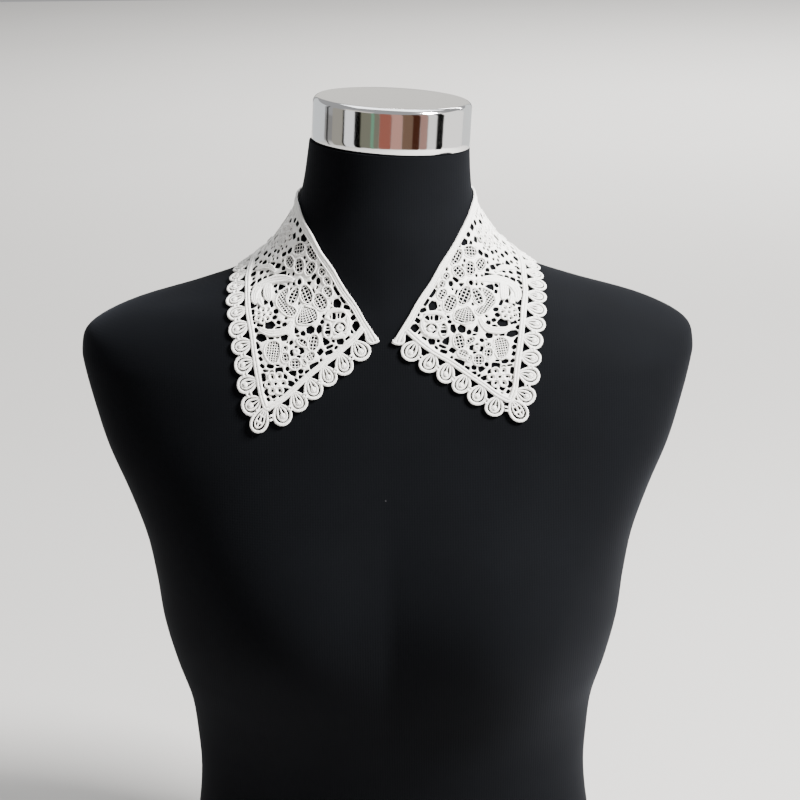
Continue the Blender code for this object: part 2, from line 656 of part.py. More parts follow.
def makeCap(material):
    """A lid turned about its own axis, then tilted with the neck."""
    edgeTurns = np.linspace(0, math.pi / 2, capEdgeSteps + 1)
    profile = [(cap["radius"] - cap["lip"], 0.0), (cap["radius"], cap["lip"])]
    profile += [
        (cap["radius"] - cap["edge"] * (1 - math.cos(t)), cap["height"] - cap["edge"] * (1 - math.sin(t)))
        for t in edgeTurns
    ]
    profile.append((cap["domeRadius"], cap["height"] + cap["dome"]))
    turns = np.linspace(0, 2 * math.pi, capSegments, endpoint=False)
    points = [(r * math.cos(a), r * math.sin(a), z) for r, z in profile for a in turns]
    made = makeObject("neck_cap", points, ringFaces(len(profile), capSegments), material)
    made.rotation_euler = (0, neckTop["tilt"], 0)
    made.location = (neckLean["shift"], 0, neckTop["height"] + seamGap / math.cos(neckTop["tilt"]))
    return made


def makeCollar(material):
    made = []
    drawn = flatHalf()
    for half in ("left", "right"):
        points, faces = layered(*drawn, half)
        points[:, 0] = np.maximum(points[:, 0], seamGap / 2)
        if half == "right":
            points, faces = points * (-1, 1, 1), [tuple(reversed(f)) for f in faces]
        made.append(makeObject("lace_" + half, points, faces, material))
    return made


for existing in list(bpy.data.objects):
    bpy.data.objects.remove(existing)

makeTorso(makeMaterial("black_jersey", (0.012, 0.013, 0.017), 0.8))
makeCap(makeMaterial("chrome", (0.82, 0.81, 0.8), 0.12, 1.0))
makeCollar(makeMaterial("white_lace", (0.83, 0.82, 0.8), 0.75))
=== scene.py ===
import math

import bpy
import numpy as np
from mathutils import Matrix, Vector
from mathutils.geometry import delaunay_2d_cdt


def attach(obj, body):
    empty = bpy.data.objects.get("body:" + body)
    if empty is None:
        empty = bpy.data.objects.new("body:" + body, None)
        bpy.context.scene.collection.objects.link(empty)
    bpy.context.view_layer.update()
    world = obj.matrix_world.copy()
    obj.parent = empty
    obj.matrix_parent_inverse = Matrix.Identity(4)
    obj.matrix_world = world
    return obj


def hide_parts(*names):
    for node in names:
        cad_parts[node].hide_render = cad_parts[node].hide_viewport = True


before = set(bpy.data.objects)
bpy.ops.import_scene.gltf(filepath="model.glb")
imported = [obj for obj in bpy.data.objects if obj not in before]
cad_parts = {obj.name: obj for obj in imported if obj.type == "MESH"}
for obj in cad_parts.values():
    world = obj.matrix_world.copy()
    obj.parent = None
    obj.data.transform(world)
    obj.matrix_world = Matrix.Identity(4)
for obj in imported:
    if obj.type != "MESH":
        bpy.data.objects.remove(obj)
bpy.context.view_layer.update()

# A white guipure lace collar on a black dress form with a chrome neck cap.
# The lace is drawn flat in millimetres, as the half at +X, then laid on the form.
mm = 0.001
seed = 20


camera = {"place": (0.0078, -1.312, 0.777), "pitchDown": 16.4, "roll": -0.6, "fieldOfView": 22.0}


def makeCamera():
    data = bpy.data.cameras.new("camera")
    data.sensor_fit = "HORIZONTAL"
    data.angle = math.radians(camera["fieldOfView"])
    made = bpy.data.objects.new("camera", data)
    made.location = camera["place"]
    # the camera is held a little turned about its own line of sight
    pitched = Matrix.Rotation(math.radians(90 - camera["pitchDown"]), 3, "X")
    made.rotation_euler = (pitched @ Matrix.Rotation(math.radians(camera["roll"]), 3, "Z")).to_euler()
    bpy.context.scene.collection.objects.link(made)
    bpy.context.scene.camera = made


def addNode(tree, kind, values=None, **settings):
    # values: socket name or number -> a number, a colour or another node's output
    node = tree.nodes.new(kind)
    for key, value in settings.items():
        setattr(node, key, value)
    for key, value in (values or {}).items():
        if isinstance(value, bpy.types.NodeSocket):
            tree.links.new(value, node.inputs[key])
        else:
            node.inputs[key].default_value = value
    return node


def mathOf(tree, operation, a, b=0.0):
    return addNode(tree, "ShaderNodeMath", {0: a, 1: b}, operation=operation).outputs[0]


def newMaterial(name, values):
    # values: the shader's own sockets and what they are set to
    material = bpy.data.materials.new(name)
    material.use_nodes = True
    tree = material.node_tree
    shader = tree.nodes["Principled BSDF"]
    for socket, value in values.items():
        shader.inputs[socket].default_value = value
    return material, tree, shader


def noiseOf(tree, place, scale, detail, **more):
    values = {"Vector": place, "Scale": scale, "Detail": detail, **more}
    return addNode(tree, "ShaderNodeTexNoise", values).outputs["Fac"]


def blendOf(tree, share, low, high):
    # a colour between two others
    node = addNode(tree, "ShaderNodeMix", {"Factor": share}, data_type="RGBA")
    for socket, colour in (("A", low), ("B", high)):
        if isinstance(colour, bpy.types.NodeSocket):
            tree.links.new(colour, node.inputs[socket])
        else:
            node.inputs[socket].default_value = (*colour, 1)
    return node.outputs["Result"]


def roughen(tree, shader, height, strength, distance):
    bump = addNode(tree, "ShaderNodeBump", {"Height": height, "Strength": strength, "Distance": distance})
    tree.links.new(bump.outputs[0], shader.inputs["Normal"])


def objectPlace(tree):
    return addNode(tree, "ShaderNodeTexCoord").outputs["Object"]


def finishPiece(made, material):
    bpy.context.scene.collection.objects.link(made)
    made.data.materials.append(material)
    made.data.shade_smooth()
    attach(made, "root")
    return made


def meshObject(name, points, faces):
    mesh = bpy.data.meshes.new(name)
    mesh.from_pydata([tuple(p) for p in points], [], faces)
    mesh.update()
    return bpy.data.objects.new(name, mesh)


studio = {
    "floorSize": 14.0,
    "floor": (0.45, 0.442, 0.43),
    "floorRough": 0.9,
    # a noise's scale and detail, here and below; and how far it shades the floor
    "cloud": (1.3, 2.0),
    "cloudFrom": 0.97,
    "cloudTo": 1.03,
    "air": (0.62, 0.625, 0.64),
    "airStrength": 0.62,
}
lamps = {
    # place, aimed at, width, height, power in watts, colour
    "key": ((1.4, -0.58, 1.82), (0.05, 0.0, 0.42), 0.5, 0.5, 275, (1.0, 0.985, 0.96)),
    "fill": ((-1.5, -1.2, 1.1), (0.0, 0.0, 0.42), 1.6, 1.4, 4, (1.0, 0.90, 0.80)),
    "top": ((0.1, 0.5, 2.1), (0.0, 0.0, 0.4), 1.6, 1.2, 20, (0.95, 0.97, 1.0)),
    "back": ((1.5, 3.6, 3.0), (1.2, 5.4, 0.0), 3.0, 2.0, 560, (1.0, 0.99, 0.97)),
}
cards = {
    # cards that only the chrome sees: azimuth in degrees, distance, width, low, high, colour, glow
    "lineLeft": (-104, 1.2, 0.08, 0.05, 1.1, (0.10, 0.10, 0.10), 0.3),
    "wallFar": (-135, 1.7, 1.5, 0.05, 1.2, (0.90, 0.94, 0.97), 0.95),
    "wallLeft": (-83, 1.3, 0.46, 0.05, 1.1, (0.42, 0.40, 0.35), 0.9),
    "edgeLeft": (-71.5, 1.2, 0.07, 0.05, 1.1, (0.03, 0.03, 0.03), 0.0),
    "paleLeft": (-62, 1.3, 0.36, 0.05, 1.1, (0.97, 0.98, 1.0), 1.2),
    "darkLeft": (-49, 1.2, 0.20, 0.05, 1.1, (0.01, 0.01, 0.012), 0.0),
    "sage": (-31, 1.3, 0.62, 0.05, 1.1, (0.30, 0.30, 0.23), 0.7),
    "green": (-27, 1.2, 0.09, 0.05, 1.1, (0.20, 0.42, 0.28), 0.9),
    "rose": (-9, 1.25, 0.36, 0.05, 1.1, (0.55, 0.19, 0.14), 0.7),
    "blush": (7, 1.25, 0.32, 0.05, 1.1, (0.85, 0.46, 0.38), 0.75),
    "brown": (22, 1.25, 0.32, 0.05, 1.1, (0.26, 0.16, 0.11), 0.8),
    "umber": (34.5, 1.2, 0.22, 0.05, 1.1, (0.10, 0.03, 0.015), 0.7),
    "dusk": (46, 1.25, 0.25, 0.05, 1.1, (0.62, 0.36, 0.30), 0.75),
    "paleRight": (59, 1.25, 0.30, 0.05, 1.1, (1.0, 0.98, 0.95), 1.2),
    "darkRight": (72, 1.2, 0.24, 0.05, 1.1, (0.015, 0.015, 0.02), 0.0),
    "windowRight": (100, 1.4, 1.1, 0.05, 1.3, (1.0, 0.98, 0.95), 1.5),
    "wallFarRight": (142, 1.7, 1.3, 0.05, 1.2, (0.94, 0.96, 0.96), 1.1),
    "above": (180, 2.2, 1.2, 0.7, 2.2, (1.0, 0.975, 0.92), 1.0),
}


def aimed(made, place, target):
    made.location = place
    made.rotation_euler = (Vector(target) - Vector(place)).to_track_quat("-Z", "Y").to_euler()


def makeLamps():
    for name, (place, target, width, height, watts, colour) in lamps.items():
        data = bpy.data.lights.new(name, "AREA")
        data.shape = "RECTANGLE"
        data.size, data.size_y = width, height
        data.energy = watts
        data.color = colour
        made = bpy.data.objects.new(name, data)
        aimed(made, place, target)
        bpy.context.scene.collection.objects.link(made)


def makeCards():
    for name, (azimuth, distance, width, low, high, colour, glow) in cards.items():
        turn = math.radians(azimuth)
        middle = np.array([math.sin(turn), -math.cos(turn)]) * distance
        beside = np.array([math.cos(turn), math.sin(turn)]) * width / 2
        corners = [(*(middle + s * beside), z) for s, z in ((-1, low), (1, low), (1, high), (-1, high))]
        card = meshObject("card_" + name, corners, [(0, 1, 2, 3)])
        look = {
            "Base Color": (0, 0, 0, 1), "Specular IOR Level": 0,
            "Emission Color": (*colour, 1), "Emission Strength": glow,
        }
        card.data.materials.append(newMaterial("card_" + name, look)[0])
        bpy.context.scene.collection.objects.link(card)
        card.visible_camera = False
        card.visible_diffuse = False
        card.visible_shadow = False


def makeFloor():
    half = studio["floorSize"] / 2
    corners = [(-half, -half, 0), (half, -half, 0), (half, half, 0), (-half, half, 0)]
    floor = meshObject("floor", corners, [(0, 1, 2, 3)])
    material, tree, shader = newMaterial("pale_floor", {"Roughness": studio["floorRough"]})
    cloud = noiseOf(tree, objectPlace(tree), *studio["cloud"])
    limits = {"Value": cloud, "To Min": studio["cloudFrom"], "To Max": studio["cloudTo"]}
    shade = addNode(tree, "ShaderNodeMapRange", limits).outputs[0]
    tint = addNode(tree, "ShaderNodeVectorMath", {0: studio["floor"], "Scale": shade}, operation="SCALE")
    tree.links.new(tint.outputs[0], shader.inputs["Base Color"])
    floor.data.materials.append(material)
    bpy.context.scene.collection.objects.link(floor)


def makeAir():
    world = bpy.data.worlds.new("soft_air")
    world.use_nodes = True
    back = world.node_tree.nodes["Background"]
    back.inputs["Color"].default_value = (*studio["air"], 1)
    back.inputs["Strength"].default_value = studio["airStrength"]
    bpy.context.scene.world = world


makeCamera()
makeLamps()
makeCards()
makeFloor()
makeAir()
print("camera, lamps and floor are in place")


# the dress form's sections, in metres
formSections = [
    # height, half width, depth in front, depth behind, squareness
    (0.000, 0.1580, 0.0980, 0.1120, 2.20),
    (0.045, 0.1480, 0.0935, 0.1040, 2.20),
    (0.090, 0.1375, 0.0900, 0.0900, 2.20),
    (0.128, 0.1332, 0.0910, 0.0820, 2.20),
    (0.160, 0.1345, 0.0960, 0.0830, 2.20),
    (0.190, 0.1378, 0.1040, 0.0870, 2.30),
    (0.220, 0.1465, 0.1130, 0.0920, 2.35),
    (0.250, 0.1534, 0.1190, 0.0970, 2.40),
    (0.280, 0.1570, 0.1205, 0.1010, 2.45),
    (0.310, 0.1625, 0.1170, 0.1040, 2.50),
    (0.340, 0.1728, 0.1095, 0.1060, 2.55),
    (0.370, 0.1850, 0.1010, 0.1060, 2.60),
    (0.395, 0.1925, 0.0940, 0.1045, 2.55),
    (0.418, 0.1985, 0.0875, 0.1010, 2.40),
    (0.432, 0.2004, 0.0830, 0.0975, 2.25),
    (0.4457, 0.1955, 0.0785, 0.0925, 2.00),
    (0.4592, 0.1710, 0.0740, 0.0860, 1.80),
    (0.4715, 0.1300, 0.0695, 0.0790, 1.65),
    (0.4825, 0.0965, 0.0660, 0.0725, 1.75),
    (0.4970, 0.0765, 0.0625, 0.0660, 1.90),
    (0.5125, 0.0635, 0.0592, 0.0612, 2.00),
    (0.5280, 0.0562, 0.0562, 0.0572, 2.00),
    (0.5420, 0.0535, 0.0542, 0.0545, 2.00),
    (0.5560, 0.0520, 0.0526, 0.0528, 2.00),
    (0.5700, 0.0508, 0.0512, 0.0512, 2.00),
]
bust = {"side": 0.072, "height": 0.268, "swell": 0.014, "spread": 0.046}
neckLean = {"start": 0.526, "top": 0.573, "shift": 0.0036}
neckTop = {"height": 0.5625, "tilt": math.radians(3.4), "tiltStart": 0.540}
formSkin = {"columns": 200, "rows": 230, "sideCrowding": 0.2, "hemRound": 0.004, "hemRows": 5}
sectionSteps = 16
sharpFrom = math.radians(50)


def smoothRows(rows, steps):
    # rows of numbers joined by a smooth curve through each of them
    points = np.array(rows, float)
    padded = np.vstack([2 * points[0] - points[1], points, 2 * points[-1] - points[-2]])
    curve = []
    for i in range(len(points) - 1):
        before, start, end, after = padded[i : i + 4]
        for t in np.arange(steps) / steps:
            curve.append(
                start
                + 0.5 * t * (end - before)
                + 0.5 * t**2 * (2 * before - 5 * start + 4 * end - after)
                + 0.5 * t**3 * (3 * start - before - 3 * end + after)
            )
    return np.array(curve + [points[-1]])


def lengthsAlong(points):
    return np.concatenate([[0], np.cumsum(np.linalg.norm(np.diff(points, axis=0), axis=1))])


fineSections = smoothRows(formSections, sectionSteps)


def formPoint(height, azimuth):
    # a point of the form's skin: azimuth 0 is the front centre, and 90 degrees is +X
    halfWidth, front, behind, square = (
        np.interp(height, fineSections[:, 0], fineSections[:, k]) for k in range(1, 5)
    )
    sine, cosine = np.sin(azimuth), np.cos(azimuth)
    depth = np.where(cosine > 0, front, behind)
    radius = ((np.abs(sine) / halfWidth) ** square + (np.abs(cosine) / depth) ** square) ** (-1 / square)
    x, y = radius * sine, -radius * cosine
    fromBust = (np.abs(x) - bust["side"]) ** 2 + (height - bust["height"]) ** 2
    y = y - bust["swell"] * np.exp(-fromBust / (2 * bust["spread"] ** 2)) * np.clip(1.5 * cosine, 0, 1)
    lean = np.clip((height - neckLean["start"]) / (neckLean["top"] - neckLean["start"]), 0, 2)
    return np.stack([x + neckLean["shift"] * lean, y, height + 0 * azimuth], -1)


def formNormal(height, azimuth, step=1e-4):
    around = formPoint(height, azimuth + step) - formPoint(height, azimuth - step)
    upward = formPoint(height + step, azimuth) - formPoint(height - step, azimuth)
    normal = np.cross(around, upward)
    return normal / np.linalg.norm(normal, axis=-1, keepdims=True)


def ringFaces(rings, columns):
    # quads between rings that follow each other upwards, and a flat face at each end
    faces = [tuple(reversed(range(columns))), tuple((rings - 1) * columns + k for k in range(columns))]
    for i in range(rings - 1):
        for k in range(columns):
            n = (k + 1) % columns
            faces.append((i * columns + k, i * columns + n, (i + 1) * columns + n, (i + 1) * columns + k))
    return faces


jersey = {
    "dark": (0.0011, 0.0013, 0.0019),
    "light": (0.0021, 0.0025, 0.0034),
    "cloud": (24.0, 5.0),
    "look": {
        "Roughness": 0.86, "Specular IOR Level": 0.05, "Sheen Weight": 0.02, "Sheen Roughness": 0.45,
        "Sheen Tint": (0.62, 0.68, 0.85, 1),
    },
    # a few specks of lint: cells to a metre, the share without one, and their size in a cell
    "lint": {"colour": (0.022, 0.022, 0.024), "scale": 34.0, "without": 0.88, "size": 0.02},
    # upright wales crossed by shallow courses; a relief's strength and depth, here and below
    "stitch": 0.0008,
    "waleBend": 1.6,
    "courseBend": 1.2,
    "bendDetail": 2.0,
    "courseShare": 0.6,
    "relief": (0.16, 0.0002),
}


def jerseyMaterial():
    material, tree, shader = newMaterial("black_jersey", jersey["look"])
    place = objectPlace(tree)
    cloud = noiseOf(tree, place, *jersey["cloud"])
    base = blendOf(tree, cloud, jersey["dark"], jersey["light"])
    lint = jersey["lint"]
    cells = addNode(tree, "ShaderNodeTexVoronoi", {"Vector": place, "Scale": lint["scale"]}, feature="F1")
    draw = addNode(tree, "ShaderNodeSeparateColor", {0: cells.outputs["Color"]}).outputs[0]
    chosen = mathOf(tree, "GREATER_THAN", draw, lint["without"])
    near = mathOf(tree, "LESS_THAN", cells.outputs["Distance"], lint["size"])
    dressed = blendOf(tree, mathOf(tree, "MULTIPLY", chosen, near), base, lint["colour"])
    tree.links.new(dressed, shader.inputs["Base Color"])
    rows = []
    for direction, bend in (("X", jersey["waleBend"]), ("Z", jersey["courseBend"])):
        scale = 0.5 / jersey["stitch"] / math.pi
        values = {"Vector": place, "Scale": scale, "Distortion": bend, "Detail": jersey["bendDetail"]}
        rows.append(addNode(tree, "ShaderNodeTexWave", values, bands_direction=direction).outputs["Fac"])
    knit = mathOf(tree, "ADD", rows[0], mathOf(tree, "MULTIPLY", rows[1], jersey["courseShare"]))
    roughen(tree, shader, knit, *jersey["relief"])
    return material


def makeForm():
    heights = np.linspace(formSkin["hemRound"], neckTop["height"], formSkin["rows"])
    even = np.linspace(0, 2 * math.pi, formSkin["columns"], endpoint=False)
    azimuths = even + formSkin["sideCrowding"] * np.sin(2 * even)
    grid = np.array([formPoint(np.full(len(azimuths), h), azimuths) for h in heights])
    share = (grid[..., 2] - neckTop["tiltStart"]) / (neckTop["height"] - neckTop["tiltStart"])
    grid[..., 2] -= math.tan(neckTop["tilt"]) * (grid[..., 0] - neckLean["shift"]) * np.clip(share, 0, 1)
    # the hem turns under in a small round
    hem = []
    for turn in np.linspace(math.pi / 2, 0, formSkin["hemRows"], endpoint=False):
        level = np.full(len(azimuths), formSkin["hemRound"] - formSkin["hemRound"] * math.sin(turn))
        ring = formPoint(level, azimuths)
        normal = formNormal(level, azimuths)
        normal[:, 2] = 0
        ring -= normal * formSkin["hemRound"] * (1 - math.cos(turn))
        hem.append(ring)
    points = np.concatenate([np.array(hem), grid]).reshape(-1, 3)
    form = meshObject("form_skin", points, ringFaces(len(hem) + len(heights), len(azimuths)))
    finishPiece(form, jerseyMaterial())
    form.data.set_sharp_from_angle(angle=sharpFrom)
    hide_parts("form_torso")


cap = {"radius": 0.051, "height": 0.029, "edge": 0.0045, "lip": 0.0008, "dome": 0.0006, "domeRadius": 0.023}
capFine = {"segments": 128, "edgeSteps": 12, "wallSteps": 6, "domeSteps": 6, "centreHole": 0.001}
seamGap = 0.0003
chrome = {
    "look": {"Base Color": (0.86, 0.855, 0.85, 1), "Metallic": 1.0},
    "smear": (60.0, 4.0),
    "smoothest": 0.05,
    "roughest": 0.12,
    "wave": (14.0, 1.0),
    "relief": (0.12, 0.0006),
}


def chromeMaterial():
    material, tree, shader = newMaterial("chrome", chrome["look"])
    place = objectPlace(tree)
    smear = noiseOf(tree, place, *chrome["smear"])
    limits = {"Value": smear, "To Min": chrome["smoothest"], "To Max": chrome["roughest"]}
    tree.links.new(addNode(tree, "ShaderNodeMapRange", limits).outputs[0], shader.inputs["Roughness"])
    roughen(tree, shader, noiseOf(tree, place, *chrome["wave"]), *chrome["relief"])
    return material


def makeCap():
    # a lid turned about its own axis, then tilted with the neck
    profile = [(cap["radius"] - cap["lip"], 0.0), (cap["radius"], cap["lip"])]
    straight = np.linspace(cap["lip"], cap["height"] - cap["edge"], capFine["wallSteps"])[1:-1]
    profile += [(cap["radius"], z) for z in straight]
    for t in np.linspace(0, math.pi / 2, capFine["edgeSteps"] + 1):
        inward, down = cap["edge"] * (1 - math.cos(t)), cap["edge"] * (1 - math.sin(t))
        profile.append((cap["radius"] - inward, cap["height"] - down))
    rim = profile[-1][0]
    for share in np.linspace(0, 1, capFine["domeSteps"] + 1)[1:]:
        radius = rim + (capFine["centreHole"] - rim) * share
        risen = min(1, (rim - radius) / (rim - cap["domeRadius"]))
        profile.append((radius, cap["height"] + cap["dome"] * risen))
    turns = np.linspace(0, 2 * math.pi, capFine["segments"], endpoint=False)
    points = np.array([(r * math.cos(a), r * math.sin(a), z) for r, z in profile for a in turns])
    tilt = neckTop["tilt"]
    tilted = points.copy()
    tilted[:, 0] = points[:, 0] * math.cos(tilt) + points[:, 2] * math.sin(tilt)
    tilted[:, 2] = points[:, 2] * math.cos(tilt) - points[:, 0] * math.sin(tilt)
    tilted += (neckLean["shift"], 0, neckTop["height"] + seamGap / math.cos(tilt))
    made = meshObject("cap_shell", tilted, ringFaces(len(profile), capFine["segments"]))
    finishPiece(made, chromeMaterial())
    made.data.set_sharp_from_angle(angle=sharpFrom)
    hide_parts("neck_cap")


# the surface that the collar's inner face lies on, as ribs a degree apart
ribTop = 0.545
clearOfForm = 0.0008
ribDegrees = np.arange(-2.0, 182.0)
ribWays = np.arange(0.0, 186.0) * mm
ribSamples = 600
ribFloor = 0.27
neckline = [
    # azimuth in degrees from the front centre, way down from the rib top in mm
    (1.0, 101.0), (3.5, 96.0), (8.2, 86.5), (13.6, 76.0), (18.5, 68.2), (23.7, 60.3), (29.0, 52.6),
    (35.2, 45.0), (42.4, 37.2), (51.6, 29.4), (61.7, 22.8), (75.0, 17.0), (90.0, 14.0), (110.0, 12.7),
    (135.0, 12.0), (160.0, 11.5), (180.0, 11.4),
]
outerEdge = [
    (43.4, 173.0), (47.0, 160.0), (49.5, 150.5), (51.9, 141.7), (54.2, 132.2), (57.0, 123.6), (60.7, 115.8),
    (64.9, 107.8), (70.8, 100.0), (77.0, 93.2), (84.0, 87.0), (92.0, 82.2), (110.0, 79.2), (135.0, 79.2),
    (160.0, 80.2), (180.0, 80.7),
]
gridAlong, gridAcross = 61, 17
edgeSteps = 24
flattenRounds = 60
weightLimits = 0.02, 20
shoulderAzimuth = 84.0
backHeading = math.radians(69.27)  # of the centre back, seen from the front corner of the flat half


def makeRibs():
    points = np.zeros((len(ribDegrees), len(ribWays), 3))
    normals = np.zeros_like(points)
    heights = np.linspace(ribTop, ribFloor, ribSamples)
    for i, degrees in enumerate(ribDegrees):
        azimuth = np.full(ribSamples, math.radians(degrees))
        normal = formNormal(heights, azimuth)
        skin = formPoint(heights, azimuth) + normal * clearOfForm
        way = lengthsAlong(skin)
        for k in range(3):
            points[i, :, k] = np.interp(ribWays, way, skin[:, k])
            normals[i, :, k] = np.interp(ribWays, way, normal[:, k])
    return points, normals


ribPoints, ribNormals = makeRibs()


def between(table, i, j, s, t):
    # a table read between the four entries of a cell, at shares s and t of its sides
    near = table[i, j] * (1 - s) + table[i + 1, j] * s
    far = table[i, j + 1] * (1 - s) + table[i + 1, j + 1] * s
    return near * (1 - t) + far * t


def onForm(degrees, way):
    # the point and normal of the collar's inner surface at an azimuth and a way down from the rib top
    a = np.clip(degrees - ribDegrees[0], 0, len(ribDegrees) - 1.001)
    b = np.clip(way / mm, 0, len(ribWays) - 1.001)
    i, j = a.astype(int), b.astype(int)
    spot = i, j, (a - i)[..., None], (b - j)[..., None]
    normal = between(ribNormals, *spot)
    return between(ribPoints, *spot), normal / np.linalg.norm(normal, axis=-1, keepdims=True)


def evenAlong(table):
    # gridAlong points of an edge, evenly spaced on each side of the shoulder
    degrees, way = smoothRows(table, edgeSteps).T
    points, _ = onForm(degrees, way * mm)
    length = lengthsAlong(points)
    shoulder = np.interp(shoulderAzimuth, degrees, length)
    half = (gridAlong - 1) // 2
    wanted = [*np.linspace(0, shoulder, half + 1), *np.linspace(shoulder, length[-1], half + 1)[1:]]
    return np.interp(wanted, length, degrees), np.interp(wanted, length, way) * mm


def collarGrid():
    inner, outer = evenAlong(neckline), evenAlong(outerEdge)
    across = np.linspace(0, 1, gridAcross)
    return [inner[k][:, None] * (1 - across) + outer[k][:, None] * across for k in range(2)]


def unrolled(points):
    # a first flat guess: the middle line unrolled, with each cross line straight
    middle = gridAcross // 2
    along = points[:, middle]
    crossing = points[:, middle + 1] - points[:, middle - 1]
    crossing /= np.linalg.norm(crossing, axis=1, keepdims=True)
    spine, heading = np.zeros((gridAlong, 2)), np.zeros(gridAlong)
    for i in range(gridAlong - 1):
        step = along[i + 1] - along[i]
        length = np.linalg.norm(step)
        leaving = heading[i] + math.acos(crossing[i] @ step / length)
        spine[i + 1] = spine[i] + length * np.array([math.cos(leaving), math.sin(leaving)])
        heading[i + 1] = leaving - math.acos(crossing[i + 1] @ step / length)
    flat = np.zeros((gridAlong, gridAcross, 2))
    for i in range(gridAlong):
        way = lengthsAlong(points[i])
        flat[i] = spine[i] + np.outer(way - way[middle], [math.cos(heading[i]), math.sin(heading[i])])
    return flat


def flattened(points):
    # the grid laid flat with each small triangle as near its own shape as it can be
    order = np.arange(gridAlong * gridAcross).reshape(gridAlong, gridAcross)
    corners = (order[:-1, :-1], order[1:, :-1], order[1:, 1:], order[:-1, 1:])
    a, b, c, d = (corner.ravel() for corner in corners)
    triangles = np.concatenate([np.stack(t, 1) for t in ((a, b, c), (a, c, d), (a, b, d), (b, c, d))])
    flat = unrolled(points).reshape(-1, 2)
    corner = points.reshape(-1, 3)[triangles]
    side = corner[:, [1, 2, 0]] - corner
    length = np.linalg.norm(side, axis=2)
    cosine = -(side[:, 0] * side[:, 2]).sum(1) / (length[:, 0] * length[:, 2])
    own = np.zeros((len(triangles), 3, 2))
    own[:, 1, 0] = length[:, 0]
    own[:, 2, 0] = length[:, 2] * cosine
    own[:, 2, 1] = length[:, 2] * np.sqrt(np.clip(1 - cosine**2, 1e-12, 1))
    first = flat[triangles]
    if np.cross(first[:, 1] - first[:, 0], first[:, 2] - first[:, 0]).sum() < 0:
        own[:, :, 1] *= -1
    ownSide = own[:, [1, 2, 0]] - own
    weight = np.zeros((len(triangles), 3))
    for k in range(3):
        far = (k + 2) % 3
        u, v = own[:, k] - own[:, far], own[:, (k + 1) % 3] - own[:, far]
        weight[:, k] = np.clip((u * v).sum(1) / np.abs(np.cross(u, v)), *weightLimits)
    total = np.zeros((len(flat), len(flat)))
    for k in range(3):
        i, j, w = triangles[:, k], triangles[:, (k + 1) % 3], weight[:, k]
        for row, column, sign in ((i, i, 1), (j, j, 1), (i, j, -1), (j, i, -1)):
            np.add.at(total, (row, column), sign * w)
    total[0, 0] += 1  # holds the first point where it is
    solve = np.linalg.inv(total)
    for _ in range(flattenRounds):
        now = flat[triangles]
        spread = np.einsum("tk,tka,tkb->tab", weight, now[:, [1, 2, 0]] - now, ownSide)
        turn = np.arctan2(spread[:, 1, 0] - spread[:, 0, 1], spread[:, 0, 0] + spread[:, 1, 1])
        spin = np.stack([np.cos(turn), -np.sin(turn), np.sin(turn), np.cos(turn)], 1).reshape(-1, 2, 2)
        pull = np.einsum("tab,tkb->tka", spin, ownSide) * weight[:, :, None]
        sums = np.zeros_like(flat)
        for k in range(3):
            np.add.at(sums, triangles[:, (k + 1) % 3], pull[:, k])
            np.add.at(sums, triangles[:, k], -pull[:, k])
        sums[0] += flat[0]
        flat = solve @ sums
    return flat.reshape(gridAlong, gridAcross, 2)


def makeFlatGrid():
    # the half collar's grid as (degrees, way) on the form and as flat millimetres
    degrees, way = collarGrid()
    points, _ = onForm(degrees, way)
    flat = flattened(points) / mm
    flat = flat - flat[0, 0]
    back, outer = flat[-1, 0], flat[0, -1]
    # turned over where needed, so that the outer edge lies on the right of the way from front to back
    if back[0] * outer[1] > back[1] * outer[0]:
        flat = flat * (1, -1)
        back = flat[-1, 0]
    turn = backHeading - math.atan2(back[1], back[0])
    cosine, sine = math.cos(turn), math.sin(turn)
    return degrees, way, flat @ np.array([[cosine, sine], [-sine, cosine]])


gridDegrees, gridWay, gridFlat = makeFlatGrid()


placeRounds = 8


def gridCell(row, column):
    i = np.clip(np.floor(row), 0, gridAlong - 2).astype(int)
    j = np.clip(np.floor(column), 0, gridAcross - 2).astype(int)
    return i, j, row - i, column - j


def gridPlace(flatPoints):
    # where flat points (mm) lie in the grid, as fractional row and column
    distance = ((flatPoints[:, None] - gridFlat.reshape(1, -1, 2)) ** 2).sum(2)
    row, column = np.divmod(distance.argmin(1), gridAcross)
    row, column = row.astype(float), column.astype(float)
    for _ in range(placeRounds):
        i, j, s, t = gridCell(row, column)
        s, t = s[:, None], t[:, None]
        a, b = gridFlat[i, j], gridFlat[i + 1, j]
        c, d = gridFlat[i, j + 1], gridFlat[i + 1, j + 1]
        miss = flatPoints - between(gridFlat, i, j, s, t)
        alongRow = (b - a) * (1 - t) + (d - c) * t
        alongColumn = (c - a) * (1 - s) + (d - b) * s
        area = alongRow[:, 0] * alongColumn[:, 1] - alongRow[:, 1] * alongColumn[:, 0]
        row += (miss[:, 0] * alongColumn[:, 1] - miss[:, 1] * alongColumn[:, 0]) / area
        column += (alongRow[:, 0] * miss[:, 1] - alongRow[:, 1] * miss[:, 0]) / area
    return row, column


def wrapped(flatPoints, lift, batch=12000):
    # flat points (mm) laid on the form, each lifted along the normal by its own number of mm
    laid = []
    for start in range(0, len(flatPoints), batch):
        some = slice(start, start + batch)
        cell = gridCell(*gridPlace(flatPoints[some]))
        points, normals = onForm(between(gridDegrees, *cell), between(gridWay, *cell))
        laid.append(points + normals * lift[some, None] * mm)
    return np.concatenate(laid)


# from here on the drawing is flat, in mm from the front corner of the neckline
def turned(heading):
    return np.array([math.cos(math.radians(heading)), math.sin(math.radians(heading))])


